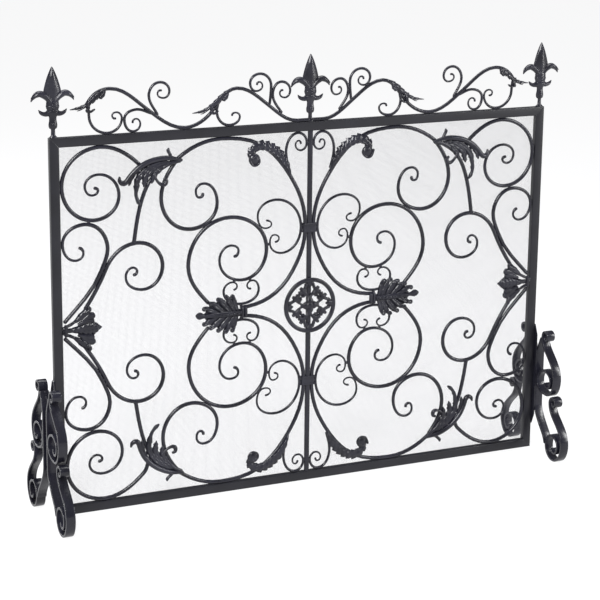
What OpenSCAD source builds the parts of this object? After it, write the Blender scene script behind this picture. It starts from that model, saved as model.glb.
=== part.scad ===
// Free-standing wrought-iron fireplace screen: one flat panel of scrollwork in front of
// a woven wire mesh, a scrolled crest with three fleur-de-lis finials, and two scroll feet.
// Millimetres. +X runs along the panel, -Y is the front, +Z is up. The origin is on the
// floor, under the middle of the panel. Left and right are as seen from the front.

/* [Frame] */
// Width of the panel frame, outside its stiles
frame_w = 1094; // [900:1:1320]
// Height of the panel frame, outside its rails
frame_h = 759; // [630:1:920]
// Floor to the underside of the bottom rail
ground_gap = 7.5; // [2:0.5:30]
// Face width of the frame's rectangular tube, seen from the front
tube_face = 19; // [15:0.5:25]
// Depth of the tube, front to back
tube_depth = 12.7; // [12:0.1:16]
// Wall thickness of the tube
tube_wall = 1.5; // [1:0.1:2.5]

/* [Scrollwork] */
// Thickness of the heavy scroll bars, in the plane of the panel
bar = 8; // [6:0.1:10]
// Thickness of the light scrolls
light_bar = 5.6; // [4:0.1:7]
// Depth of every scroll bar, front to back
bar_depth = 8; // [6:0.1:8.4]
// Share of its thickness that a bar keeps at a tapered tip
tip_share = 0.6; // [0.4:0.05:1]
// Width of the straight bar in the middle
centre_bar_w = 10; // [8:0.5:14]
// Height of the collars that bind the middle bars
collar_h = 19; // [12:1:30]
// Wall of the collars
collar_wall = 2; // [1:0.1:2.2]
// Play between a collar and the bars inside it
collar_play = 0.3; // [0.1:0.1:0.4]
// Radius of the weld spots where two bars touch
weld_r = 3.2; // [2.5:0.1:4]

/* [Castings] */
// Depth of the cast leaves, which lie on the front of the bars
leaf_depth = 6; // [4:0.5:9]
// Outer radius of the medallion
medallion_r = 58; // [45:1:70]
// Width of the medallion's rim
medallion_rim = 8.5; // [6:0.5:12]
// Depth of the medallion
medallion_depth = 7; // [4:0.5:10]
// Height of the finials above the top rail
finial_h = 135; // [110:1:165]
// Depth of the finials' leaves and head
finial_depth = 11; // [8:0.5:12]

/* [Mesh] */
// Thickness of the woven wire mesh
mesh_t = 1.2; // [0.8:0.1:1.6]
// Gap between the back of the collars and the mesh
mesh_gap = 0.3; // [0.1:0.1:0.5]

/* [Feet] */
// Depth of the feet over everything, front to back
foot_depth = 254; // [210:1:310]
// Height of the feet
foot_h = 281; // [230:1:340]
// Width of the feet's flat bar
foot_bar_w = 19; // [15:0.5:25]
// Thickness of the feet's flat bar
foot_bar_t = 5; // [4:0.5:6]
// Thickness of the mounting plate between a stile and a foot
foot_plate_t = 2.3; // [2:0.1:4]
// Width of the mounting plate, front to back
foot_plate_w = 30; // [26:1:36]
// Height of the flat worn on the underside of each foot, where it stands
foot_flat = 0.3; // [0.1:0.1:0.6]
// Thread diameter of the bolts
bolt_d = 6; // [5:0.5:8]
// Play of the bolts in the plate's holes, across the diameter
bolt_play = 0.6; // [0.2:0.1:1]
// Length of the bolts under their heads
bolt_l = 12; // [8:0.5:16]
// Width of the bolt heads across their flats
bolt_head = 10; // [8:0.5:13]

/* [Hidden] */
SIDES = [["left", -1], ["right", 1]];
PAIRED = ["stile", "crest_wave", "crest_hanging_scrolls", "crest_low_scroll",
  "crest_leaves", "crest_spirals", "corner_scrolls", "stile_scrolls", "side_scrolls",
  "arch_bars", "arch_scrolls", "heart_scrolls", "ring_scrolls", "collar_scrolls",
  "palmette_scrolls", "palmette", "stile_leaf", "acanthus_leaves", "finial",
  "foot_bars", "foot_scrolls", "foot_plate"];
SINGLE = ["top_rail", "bottom_rail", "wire_mesh", "centre_bar", "medallion_ring",
  "medallion_tracery", "upper_collar", "lower_collar", "centre_finial",
  "crest_standing_scrolls", "struts", "curled_leaves", "foot_bolts"];

bottom_z = ground_gap;
top_z = ground_gap + frame_h;
mid_z = (bottom_z + top_z) / 2;
open_w = frame_w / 2 - tube_face;    // half the width of the frame's opening
open_h = frame_h / 2 - tube_face;    // half its height
front_y = -tube_depth / 2 + 0.35;    // front of the scroll bars, just inside the tubes' faces
bar_y = front_y + bar_depth / 2;
mesh_y = front_y + bar_depth + collar_play + collar_wall + mesh_gap;
finial_x = frame_w / 2 - tube_face / 2;

// The scrollwork is drawn for an opening of this half width and half height, measured to
// the middle of a heavy bar that lies against the frame, and is stretched to fit.
DRAWN = [530.2, 356.5];
panel_scale = [(open_w - bar / 2) / DRAWN[0], (open_h - bar / 2) / DRAWN[1]];
DRAWN_FINIAL_X = 543.8;
DRAWN_FINIAL_H = 135;
crest_scale = [finial_x / DRAWN_FINIAL_X, finial_h / DRAWN_FINIAL_H];

// ---- Bars: knots [outward, up, heading in degrees] joined by arcs that run on smoothly
function turn(a, b) = let (d = b[2] - a[2]) d - 360 * round(d / 360);
function along(a) = [cos(a), sin(a)];
function place(p, s) = [p[0] * s[0], p[1] * s[1]];
function arc_points(a, b, s) =
  let (start = [a[0], a[1]],
       end = [b[0], b[1]],
       reach = norm(end - start) / (3 * pow(cos(turn(a, b) / 4), 2)),
       lead = start + reach * along(a[2]),
       tail = end - reach * along(b[2]),
       steps = max(2, ceil(abs(turn(a, b)) / 14)))
  [for (i = [0:steps - 1])
    let (t = i / steps, r = 1 - t)
    place(r * r * r * start + 3 * r * r * t * lead + 3 * r * t * t * tail + t * t * t * end, s)];
function run(knots, s) = concat(
  [for (i = [0:len(knots) - 2]) each arc_points(knots[i], knots[i + 1], s)],
  [place(knots[len(knots) - 1], s)]);
function side_of(p, i) =
  let (last = len(p) - 1, d = p[min(i + 1, last)] - p[max(i - 1, 0)]) [-d[1], d[0]] / norm(d);
function ease(t) = let (c = min(1, max(0, t))) c * c * (3 - 2 * c);

// A flat outline of a bar that thins towards its tapered ends.
// tapers: how much of the run thins at the start and at the end, 0 for a full square end
module bar_outline(knots, thickness, tapers, s) {
  p = run(knots, s);
  last = len(p) - 1;
  function half(i) = let (t = i / last,
      a = tapers[0] > 0 ? ease(t / tapers[0]) : 1,
      b = tapers[1] > 0 ? ease((1 - t) / tapers[1]) : 1)
    thickness / 2 * (tip_share + (1 - tip_share) * min(a, b));
  function cap(i, forward) = let (n = side_of(p, i), h = half(i))
    [for (a = [60, 90, 120]) p[i] + h * (n * cos(a) * (forward ? 1 : -1)
      + [n[1], -n[0]] * sin(a) * (forward ? 1 : -1))];
  polygon(concat(
    tapers[0] > 0 ? cap(0, false) : [],
    [for (i = [0:last]) p[i] + side_of(p, i) * half(i)],
    tapers[1] > 0 ? cap(last, true) : [],
    [for (i = [last:-1:0]) p[i] - side_of(p, i) * half(i)]));
}

// Stands an outline up in the panel: its front is at y_front and it goes back by depth
module stand(y_front, depth) {
  translate([0, y_front + depth, 0]) rotate([90, 0, 0]) linear_extrude(height = depth) children();
}
// Weld spots: round pads over the places where two bars touch
module spots(welds, s) { for (w = welds) translate(place(w, s)) circle(r = weld_r, $fn = 24); }
// The child is the outline of the bars that this one is welded to: it is cut to fit them
module panel_bar(knots, thickness = bar, tapers = [0, 0.5], welds = []) {
  stand(front_y, bar_depth) difference() {
    union() {
      bar_outline(knots, thickness, tapers, panel_scale);
      spots(welds, panel_scale);
    }
    children();
  }
}

// Places: a side is -1 on the left and 1 on the right
module on_side(side) { mirror([side < 0 ? 1 : 0, 0, 0]) children(); }
module both_sides() { for (side = [-1, 1]) on_side(side) children(); }
module up_and_down() { for (flip = [0, 1]) translate([0, 0, mid_z]) mirror([0, 0, flip]) children(); }
module on_rail() { translate([0, 0, top_z]) children(); }

iron = [0.17, 0.17, 0.19];
cast = [0.14, 0.14, 0.16];
wire = [0.55, 0.55, 0.58];
steel = [0.30, 0.30, 0.32];

// ---- Frame tubes, mitred at the corners
// Outline of one tube from its outer edge inwards, and of the hollow inside it
module mitred(length, inset) {
  reach = inset > 0 ? 2 : 0;    // the hollow runs out through the mitres
  polygon([[-length / 2 + inset - reach, -inset], [length / 2 - inset + reach, -inset],
    [length / 2 - tube_face + inset + reach, -tube_face + inset],
    [-length / 2 + tube_face - inset - reach, -tube_face + inset]]);
}
module tube(length) {
  difference() {
    stand(-tube_depth / 2, tube_depth) mitred(length, 0);
    stand(-tube_depth / 2 + tube_wall, tube_depth - 2 * tube_wall) mitred(length, tube_wall);
  }
}
module top_rail() { color(iron) translate([0, 0, top_z]) tube(frame_w); }
module bottom_rail() { color(iron) translate([0, 0, bottom_z]) mirror([0, 0, 1]) tube(frame_w); }
module stile(side) {
  color(iron) on_side(side) difference() {
    translate([frame_w / 2, 0, mid_z]) rotate([0, 90, 0]) tube(frame_h);
    foot_bolt_holes(bolt_d);
  }
}

// ---- Mesh and middle
module wire_mesh() {
  color(wire) translate([-open_w, mesh_y, mid_z - open_h])
    cube([2 * open_w, mesh_t, 2 * open_h]);
}
module centre_bar() {
  color(iron) translate([-centre_bar_w / 2, front_y, mid_z - open_h])
    cube([centre_bar_w, bar_depth, 2 * open_h]);
}
COLLAR_W = 162;                           // height of the collars above the middle, as drawn
BUNDLE_PLAY = 0.5;                        // between the middle bar and the bars beside it
COLLAR_EASE = 2.5;                        // the bars begin to bend this far inside a collar
collar_z = COLLAR_W * panel_scale[1];
bundle = centre_bar_w + 2 * bar + 2 * BUNDLE_PLAY;    // the three bars in a collar
collar_side = bundle / 2 + collar_play + collar_wall;
module collar(flip) {
  inner = bundle / 2 + collar_play;
  depth = bar_depth + 2 * collar_play;
  color(cast) translate([0, bar_y, mid_z]) mirror([0, 0, flip]) translate([0, 0, collar_z])
    difference() {
      cube([2 * collar_side, depth + 2 * collar_wall, collar_h], center = true);
      cube([2 * inner, depth, collar_h + 2], center = true);
    }
}
module medallion_ring() {
  color(cast) translate([0, 0, mid_z]) stand(front_y - medallion_depth, medallion_depth)
    difference() {
      circle(r = medallion_r, $fn = 96);
      circle(r = medallion_r - medallion_rim, $fn = 96);
    }
}

// Half the outline of a fleur-de-lis arm: spear, notch, curled petal. Four of them stand
// around a boss with their tips on the rim. Drawn for a hole of 50 radius.
HALF_ARM = [[51, 0], [51, 5], [44, 9], [40, 6], [34, 7], [26, 2.6], [16, 2], [16, 5], [25, 9],
  [31, 15], [36, 14], [33, 25], [25, 26], [22, 18], [17, 11], [7, 7.5]];
module fleur_arm() {
  k = (medallion_r - medallion_rim) / 50;
  polygon(k * both_edges(HALF_ARM));
}
// A half outline and its mirror image about the first axis, in one loop
function both_edges(half) = concat(half, [for (i = [len(half) - 1:-1:1]) [half[i][0], -half[i][1]]]);
module medallion_tracery() {
  color(cast) translate([0, 0, mid_z]) stand(front_y - medallion_depth + 1, medallion_depth - 1) {
    circle(r = 12, $fn = 48);
    for (a = [0:90:270]) rotate(a) fleur_arm();
  }
}

// ---- Panel scrollwork, drawn for the upper quarter of one side
CORNER = [[366, 313, 45], [450, 356.5, 0], [530.2, 283, -90], [465, 214, -180],
  [413, 260, -270], [455, 303, -360], [483, 281, -450], [468, 263, -540], [456, 272, -630],
  [463, 277, -710]];
LOWER_CORNER = concat([[356, 288, 66]], CORNER);    // reaches up to the turned leaf
STILE_SCROLL = [[529, 17, 134], [451.5, 113.5, 112], [438, 155, 90], [485, 207.5, 0],
  [530.6, 171, -90], [504, 137.5, -180], [488, 151, -270], [496, 162, -345]];
SIDE_SCROLL = [[486, 40, 125], [442, 116, 114], [376, 162, 180], [323, 112, 270],
  [365, 67, 360], [401, 95, 450], [386, 113, 540], [377, 105, 630], [384, 98, 720]];
STRUT = [[383, 163, 98], [370, 233, 105], [345, 288, 128], [302, 318, 152]];
// The bars beside the middle bar run straight through the collars
beside = (bundle - bar) / 2 / panel_scale[0];
straight = (collar_h / 2 - COLLAR_EASE) / panel_scale[1];
ARCH = [[152, 9, 180], [75, 32, 145], [27, 92, 117],
  [beside, COLLAR_W - straight, 90], [beside, COLLAR_W + straight, 90],
  [14, 206, 77], [45, 273, 57], [112, 340, 28], [198, 356.5, 0], [291, 322, -38]];
ARCH_SCROLL = [[295, 316, -50], [325, 247, -90], [262, 180, -180], [205, 229, -270],
  [235, 269.5, -360], [251, 255, -450], [243, 242, -540], [236, 249, -640]];
// A heart touches the rail above it and the middle bar beside it
heart_top = (open_h - light_bar / 2) / panel_scale[1];
heart_side = (centre_bar_w + light_bar) / 2 / panel_scale[0];
HEART = [[46, 283, 74], [54, 320, 90], [27, heart_top, 180], [heart_side, 337, 270], [21, 322, 360],
  [33, 334, 450], [26, 342, 540], [21, 336, 630]];
// A ring scroll springs from under the palmette, which keeps its size
PALMETTE_ROOT = 146;                      // where a palmette leaves the arch bars, as drawn
RING_SPRING = [79, 26];                   // from there to the scroll's end
ring_start = [PALMETTE_ROOT + RING_SPRING[0] / panel_scale[0], RING_SPRING[1] / panel_scale[1]];
RING = [[ring_start[0], ring_start[1], 47], [268, 104, 90], [178, 197, 180], [96, 126, 270],
  [150, 66, 360], [200, 110, 450], [175, 139, 540], [158, 127, 630], [167, 116, 720]];
// A collar scroll lies against the collar's side
against = (collar_side + light_bar / 2) / panel_scale[0];
COLLAR_SCROLL = [[96, 184, 190], [85, 176, 270], [98, 168, 360], [116, 194, 450],
  [76, 225, 540], [against, 164, 630], [62, 114, 720], [88.5, 137, 810], [79, 153, 900],
  [68, 145, 990], [76, 138, 1080]];
PALMETTE_SCROLL = [[168, 47, 170], [161, 54, 90], [172, 63, 0], [191, 45, -90],
  [152, 16.5, -180], [113, 44, -270], [127, 63, -360], [139, 53, -450], [131, 46, -540]];

// Where the bars of one quarter touch each other
CORNER_WELD = [[476, 211]];
SIDE_WELD = [[449, 109]];
ARCH_SCROLL_WELD = [[227.5, 186]];
HEART_WELD = [[(centre_bar_w / 2 + light_bar / 5) / panel_scale[0], 337]];
COLLAR_WELDS = [[111, 171], [92.5, 134.5], [(collar_side + light_bar / 5) / panel_scale[0], 163]];
PALMETTE_WELDS = [[132.5, 65.5], [167.5, 65.5], [152, 13]];

module quarters(side) { on_side(side) up_and_down() children(); }
module outline_of(knots, thickness = bar, tapers = [0, 0.5]) {
  bar_outline(knots, thickness, tapers, panel_scale);
}
module stile_scrolls(side) { color(iron) quarters(side) panel_bar(STILE_SCROLL); }
module corner_scrolls(side) {
  color(iron) on_side(side) {
    translate([0, 0, mid_z]) panel_bar(CORNER, welds = CORNER_WELD) outline_of(STILE_SCROLL);
    translate([0, 0, mid_z]) mirror([0, 0, 1]) panel_bar(LOWER_CORNER, welds = CORNER_WELD)
      outline_of(STILE_SCROLL);
  }
}
module side_scrolls(side) {
  color(iron) quarters(side) panel_bar(SIDE_SCROLL, welds = SIDE_WELD) outline_of(STILE_SCROLL);
}
module arch_bars(side) { color(iron) quarters(side) panel_bar(ARCH, tapers = [0, 0]); }
module ring_scrolls(side) { color(iron) quarters(side) panel_bar(RING); }
module arch_scrolls(side) {
  color(iron) quarters(side) panel_bar(ARCH_SCROLL, welds = ARCH_SCROLL_WELD) {
    outline_of(ARCH, tapers = [0, 0]);
    outline_of(RING);
  }
}
module struts() {
  color(iron) for (s = [-1, 1]) quarters(s) panel_bar(STRUT, tapers = [0, 0]) {
    outline_of(SIDE_SCROLL);
    outline_of(ARCH, tapers = [0, 0]);
    outline_of(ARCH_SCROLL);
  }
}
module heart_scrolls(side) {
  color(iron) quarters(side) panel_bar(HEART, light_bar, welds = HEART_WELD) {
    outline_of(ARCH, tapers = [0, 0]);
    translate([0, open_h / 2]) square([centre_bar_w, open_h], center = true);
  }
}
module collar_scrolls(side) {
  color(iron) quarters(side) panel_bar(COLLAR_SCROLL, light_bar, [0.4, 0.4], COLLAR_WELDS) {
    outline_of(RING);
    outline_of(ARCH, tapers = [0, 0]);
    translate([0, collar_z]) square([2 * collar_side, collar_h], center = true);
  }
}
module palmette_scrolls(side) {
  color(iron) quarters(side) panel_bar(PALMETTE_SCROLL, light_bar, [0.4, 0.4], PALMETTE_WELDS) {
    outline_of(RING);
    outline_of(ARCH, tapers = [0, 0]);
  }
}

// ---- Cast leaves, which lie on the front of the bars
module leaf_stand() { stand(front_y - leaf_depth, leaf_depth) children(); }
// Points of one lobe of a fan, from its right shoulder over its round tip to its left one
function lobe(angle, length, width) = [for (q = [[0.35, -0.42], [0.1, -0.27], [0, 0],
    [0.1, 0.27], [0.35, 0.42]])
  let (r = length - q[0] * width, c = q[1] * width)
  [r * cos(angle) - c * sin(angle), r * sin(angle) + c * cos(angle)]];
// A fan of lobes around its root, [angle, length] each, with notches in between
module fan(lobes, width, root) {
  last = len(lobes) - 1;
  polygon(concat([[root[0], -root[1]]], [for (i = [0:last])
    each concat(lobe(lobes[i][0], lobes[i][1], width), i == last ? [] :
      [0.62 * min(lobes[i][1], lobes[i + 1][1]) * along((lobes[i][0] + lobes[i + 1][0]) / 2)])],
    [root]));
}
// The same lobes on both sides of the middle one
function both_ways(half) = concat([for (i = [len(half) - 1:-1:1]) [-half[i][0], half[i][1]]], half);
LOBE = 13.4;    // width of one lobe
PALMETTE = both_ways([[0, 106], [14, 95], [28, 76], [43, 60], [60, 44]]);
STILE_LEAF = both_ways([[0, 78], [15, 71], [28, 64], [42, 57]]);
module palmette(side) {
  color(cast) on_side(side) translate([PALMETTE_ROOT * panel_scale[0], 0, mid_z]) leaf_stand()
    fan(PALMETTE, LOBE, [-5, 11]);
}
module stile_leaf(side) {
  color(cast) on_side(side) translate([open_w, 0, mid_z]) leaf_stand()
    mirror([1, 0]) fan(STILE_LEAF, LOBE, [0, 11]);
}
ACANTHUS = [[284, 322], [298, 330], [304, 342], [312, 338], [311, 328], [330, 328], [352, 322],
  [374, 310], [391, 294], [404, 296], [411, 287], [402, 278], [390, 281], [380, 290],
  [378, 266], [379, 246], [371, 243], [364, 262], [366, 276], [352, 270], [340, 286],
  [330, 270], [317, 268], [308, 276], [314, 286], [326, 288], [318, 302], [300, 312]];
ACANTHUS_ROOT = [288, 320];
LOWER_TURN = 21;    // the lower pair leans this much further towards the middle height
module acanthus_leaves(side) {
  root = place(ACANTHUS_ROOT, panel_scale);
  color(cast) on_side(side) {
    translate([0, 0, mid_z]) leaf_stand() scale_outline(ACANTHUS, panel_scale);
    translate([0, 0, mid_z]) mirror([0, 0, 1]) leaf_stand()
      translate(root) rotate(-LOWER_TURN) translate(-root) scale_outline(ACANTHUS, panel_scale);
  }
}
CURLED = [[46, 276], [55, 304], [66, 322], [76, 334], [90, 341], [103, 345], [118, 341],
  [132, 334], [139, 320], [135, 305], [122, 298], [110, 304], [112, 316], [122, 316],
  [120, 324], [104, 327], [84, 318], [68, 304]];
module curled_leaves() {
  color(cast) for (s = [-1, 1]) quarters(s) leaf_stand() scale_outline(CURLED, panel_scale);
}
module scale_outline(points, s) { polygon([for (p = points) place(p, s)]); }

// ---- Crest, drawn up from the top of the rail. The low points lie on the rail.
WAVE_LOW = 3.6;     // drawn height of the wave's low points
SCROLL_LOW = 2.8;   // drawn height of the light scrolls' low points
wave_bar = 0.9 * bar;
WAVE = [[476, 60, 115], [430, 88, 180], [355, 46, 217], [274, 3.6, 180], [219, 29, 134],
  [163, 75, 180], [95, 39, 217], [30, 3.6, 180], [4.6, 3.6, 180]];
OUTER_HANGING = [[473.5, 56, -95], [472, 38, -90], [435, 2.8, -180], [405, 30, -270],
  [416, 42, -360], [425, 36, -450], [418, 30, -560]];
LOW_SCROLL = [[345, 36, 18], [373, 45, 0], [400, 27, -90], [382, 2.8, -180], [367, 17, -270],
  [376, 27, -360], [383, 20, -460]];
STANDING = [[332, 34, 60], [349, 70, 90], [326, 95, 180], [306, 77, 270], [318, 64, 360],
  [331, 73, 450], [323, 79, 560]];
INNER_HANGING = [[203.5, 45, -85], [206, 33, -90], [179, 2.8, -180], [156, 19, -270],
  [166, 27, -360], [173, 22, -460]];
OUTER_SPIRAL = [[91, 41, 97], [88, 76, 90], [113, 101, 0], [134, 83, -90], [120, 67, -180],
  [107, 77, -270], [114, 85, -360], [119, 80, -460]];
INNER_SPIRAL = [[65, 22, 55], [84.5, 58, 90], [65.5, 83, 180], [46, 65, 270], [57.5, 51, 360],
  [69, 60, 450], [62.5, 66, 560]];
OUTER_LEAF = [[511, 53], [496, 57], [483, 63], [470, 76], [456, 87], [438, 92], [441, 80],
  [449, 76], [448, 66], [457, 62], [459, 52], [474, 52], [490, 50]];
INNER_LEAF = [[258, 32], [240, 37], [222, 47], [207, 61], [194, 71], [178, 78], [182, 67],
  [191, 64], [193, 55], [202, 52], [205, 42], [222, 37], [240, 31]];

CREST_WELDS = [[128, 66.5], [86.5, 60.5], [402.5, 28]];

module crest_outline(knots, thickness, tapers, low) {
  translate([0, thickness / 2 - low * crest_scale[1]])
    bar_outline(knots, thickness, tapers, crest_scale);
}
module wave_outline() { crest_outline(WAVE, wave_bar, [0, 0], WAVE_LOW); }
module light_outline(knots) { crest_outline(knots, light_bar, [0, 0.5], SCROLL_LOW); }
// A light scroll of the crest. The child is the outline of the bars it is welded to
module crest_scroll(knots, welds = []) {
  stand(front_y, bar_depth) difference() {
    union() {
      light_outline(knots);
      spots(welds, crest_scale);
    }
    children();
  }
}
module crest_wave(side) { color(iron) on_rail() on_side(side) stand(front_y, bar_depth) wave_outline(); }
module crest_low_scroll(side) {
  color(iron) on_rail() on_side(side) crest_scroll(LOW_SCROLL) wave_outline();
}
module crest_hanging_scrolls(side) {
  color(iron) on_rail() on_side(side) {
    crest_scroll(OUTER_HANGING, [CREST_WELDS[2]]) {
      wave_outline();
      light_outline(LOW_SCROLL);
    }
    crest_scroll(INNER_HANGING) wave_outline();
  }
}
module crest_standing_scrolls() {
  color(iron) on_rail() both_sides() crest_scroll(STANDING) {
    wave_outline();
    light_outline(LOW_SCROLL);
  }
}
module crest_spirals(side) {
  color(iron) on_rail() on_side(side) {
    crest_scroll(OUTER_SPIRAL, [CREST_WELDS[0]]) wave_outline();
    crest_scroll(INNER_SPIRAL, [CREST_WELDS[1]]) {
      wave_outline();
      light_outline(OUTER_SPIRAL);
    }
  }
}
module crest_leaves(side) {
  color(cast) on_rail() on_side(side) leaf_stand() {
    scale_outline(OUTER_LEAF, crest_scale);
    scale_outline(INNER_LEAF, crest_scale);
  }
}

// ---- Finials: a turned stem and bead under a cast fleur-de-lis
STEM = [[0, 0], [5.5, 0], [4, 4], [3.7, 14], [4.2, 18], [8.4, 22], [7.6, 28], [5.2, 36],
  [5.2, 44], [0, 44]];
FLEUR = [[5, 40], [13, 43], [22, 46], [28, 53], [22, 52], [14, 50], [11, 55], [11.5, 66],
  [14, 72], [22, 76], [31, 77], [37, 72], [42, 69], [41, 76], [35, 84], [26, 89], [17, 90],
  [15, 103], [10, 119], [4, 132], [0, 135]];
module finial(x) {
  k = finial_h / DRAWN_FINIAL_H;
  color(cast) translate([x, 0, top_z]) scale([k, k, k]) {
    rotate_extrude($fn = 48) polygon(STEM);
    stand(-finial_depth / 2, finial_depth)
      polygon(concat(FLEUR, [for (i = [len(FLEUR) - 2:-1:0]) [-FLEUR[i][0], FLEUR[i][1]]]));
  }
}

// ---- Feet, drawn as [outward from the middle of the panel, up]
DRAWN_FOOT = [254, 281, 12.5, 5];    // depth, height, middle of the upright, bar thickness
foot_range = foot_h - foot_bar_t + foot_flat;
upright_v = foot_plate_w / 2 - foot_bar_t / 2;
foot_x = frame_w / 2 + foot_plate_t;
foot_end_v = foot_depth / 2 - foot_bar_t / 2;
foot_v_scale = (foot_end_v - upright_v) / (DRAWN_FOOT[0] / 2 - DRAWN_FOOT[3] / 2 - DRAWN_FOOT[2]);
foot_z_scale = foot_range / (DRAWN_FOOT[1] - DRAWN_FOOT[3]);
UPRIGHT = [[27, 262, -105], [12.5, 222, -90], [12.5, 112, -90], [34, 68, -52], [58.8, 30, -80]];
UPPER_S = [[40, 266, -80], [44, 260, 0], [53, 269, 90], [42.5, 278.5, 180], [32, 267, 270],
  [45, 238, 315], [84.5, 180, 270], [56, 140.5, 180], [17.4, 165, 90], [46, 192, 0],
  [71, 172, -90], [58, 156, -180], [50, 166, -280]];
LOWER_S = [[81, 128, -80], [85, 122, 0], [94, 131, 90], [83, 140, 180], [71.5, 128, 270],
  [88, 96, 318], [124.5, 42, 270], [93, 2.5, 180], [63.8, 30, 90], [86, 56, 0],
  [109, 37, -90], [97, 19, -180], [88, 28, -280]];
UPPER_WELDS = [[15, 165, 0]];
LOWER_WELDS = [[80, 140, 0], [61.5, 30, 0]];
// Knots shifted so that the upright stays on the mounting plate and the scroll on the floor
function foot_knots(k) = [for (q = k)
  [(q[0] - DRAWN_FOOT[2]) * foot_v_scale + upright_v,
   (q[1] - DRAWN_FOOT[3] / 2) * foot_z_scale + foot_bar_t / 2 - foot_flat, q[2]]];
module foot_outline(knots) { bar_outline(foot_knots(knots), foot_bar_t, [0, 0], [1, 1]); }
// The child is the outline of the bars that this one is welded to, and of the floor
module foot_bar(knots, welds = []) {
  translate([foot_x, 0, 0]) rotate([90, 0, 90]) linear_extrude(height = foot_bar_w)
    difference() {
      union() {
        foot_outline(knots);
        for (w = foot_knots(welds)) translate([w[0], w[1]]) circle(r = weld_r, $fn = 24);
      }
      children();
    }
}
module floor_outline() { translate([0, -10]) square([foot_depth, 10]); }
module front_and_back() { for (m = [0, 1]) mirror([0, m, 0]) children(); }
module foot_bars(side) { color(iron) on_side(side) front_and_back() foot_bar(UPRIGHT); }
module foot_scrolls(side) {
  color(iron) on_side(side) front_and_back() {
    foot_bar(UPPER_S, UPPER_WELDS) foot_outline(UPRIGHT);
    foot_bar(LOWER_S, LOWER_WELDS) {
      foot_outline(UPRIGHT);
      foot_outline(UPPER_S);
      floor_outline();
    }
  }
}

// Mounting plate with pointed ends, and the two bolts that hold it to the stile
BOLT_Z = [112, 212];
plate_low = 62;
plate_high = 288;
module foot_plate(side) {
  w = foot_plate_w / 2;
  point = 22;
  color(iron) on_side(side) difference() {
    translate([frame_w / 2, 0, 0]) rotate([90, 0, 90]) linear_extrude(height = foot_plate_t)
      polygon([[-w * 0.4, plate_low], [w * 0.4, plate_low], [w, plate_low + point],
        [w, plate_high - point], [w * 0.4, plate_high], [-w * 0.4, plate_high],
        [-w, plate_high - point], [-w, plate_low + point]]);
    foot_bolt_holes(bolt_d + bolt_play);
  }
}
// Holes through the plate and the stile's outer wall
module foot_bolt_holes(d) {
  for (z = BOLT_Z) translate([frame_w / 2 - tube_face / 2, 0, z]) rotate([0, 90, 0])
    cylinder(d = d, h = tube_face, $fn = 32);
}
module foot_bolts() {
  head_h = bolt_d * 0.65;
  color(steel) both_sides() for (z = BOLT_Z) translate([foot_x, 0, z]) rotate([0, 90, 0]) {
    translate([0, 0, -bolt_l]) cylinder(d = bolt_d, h = bolt_l, $fn = 32);
    cylinder(d = bolt_head / cos(30), h = head_h, $fn = 6);
  }
}

// ---- Drawing
top_rail();
bottom_rail();
wire_mesh();
centre_bar();
medallion_ring();
medallion_tracery();
collar(0);  // upper_collar
collar(1);  // lower_collar
finial(0);  // centre_finial
crest_standing_scrolls();
struts();
curled_leaves();
foot_bolts();
stile(-1);  // left_stile
stile(1);  // right_stile
crest_wave(-1);  // left_crest_wave
crest_wave(1);  // right_crest_wave
crest_hanging_scrolls(-1);  // left_crest_hanging_scrolls
crest_hanging_scrolls(1);  // right_crest_hanging_scrolls
crest_low_scroll(-1);  // left_crest_low_scroll
crest_low_scroll(1);  // right_crest_low_scroll
crest_leaves(-1);  // left_crest_leaves
crest_leaves(1);  // right_crest_leaves
crest_spirals(-1);  // left_crest_spirals
crest_spirals(1);  // right_crest_spirals
corner_scrolls(-1);  // left_corner_scrolls
corner_scrolls(1);  // right_corner_scrolls
stile_scrolls(-1);  // left_stile_scrolls
stile_scrolls(1);  // right_stile_scrolls
side_scrolls(-1);  // left_side_scrolls
side_scrolls(1);  // right_side_scrolls
arch_bars(-1);  // left_arch_bars
arch_bars(1);  // right_arch_bars
arch_scrolls(-1);  // left_arch_scrolls
arch_scrolls(1);  // right_arch_scrolls
heart_scrolls(-1);  // left_heart_scrolls
heart_scrolls(1);  // right_heart_scrolls
ring_scrolls(-1);  // left_ring_scrolls
ring_scrolls(1);  // right_ring_scrolls
collar_scrolls(-1);  // left_collar_scrolls
collar_scrolls(1);  // right_collar_scrolls
palmette_scrolls(-1);  // left_palmette_scrolls
palmette_scrolls(1);  // right_palmette_scrolls
palmette(-1);  // left_palmette
palmette(1);  // right_palmette
stile_leaf(-1);  // left_stile_leaf
stile_leaf(1);  // right_stile_leaf
acanthus_leaves(-1);  // left_acanthus_leaves
acanthus_leaves(1);  // right_acanthus_leaves
finial(-finial_x);  // left_finial
finial(finial_x);  // right_finial
foot_bars(-1);  // left_foot_bars
foot_bars(1);  // right_foot_bars
foot_scrolls(-1);  // left_foot_scrolls
foot_scrolls(1);  // right_foot_scrolls
foot_plate(-1);  // left_foot_plate
foot_plate(1);  // right_foot_plate
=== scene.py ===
"""The looks of a free-standing wrought-iron fireplace screen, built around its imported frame.

Every bar is swept as a round bar, the leaves and finials are modelled as castings, and the
mesh is drawn wire by wire. Sizes in this file are millimetres; objects are made in metres.
"""

import logging
import math
from dataclasses import dataclass, field
from enum import Enum
from typing import Optional, Sequence

import bpy
import numpy as np
from mathutils import Matrix, Vector


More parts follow.
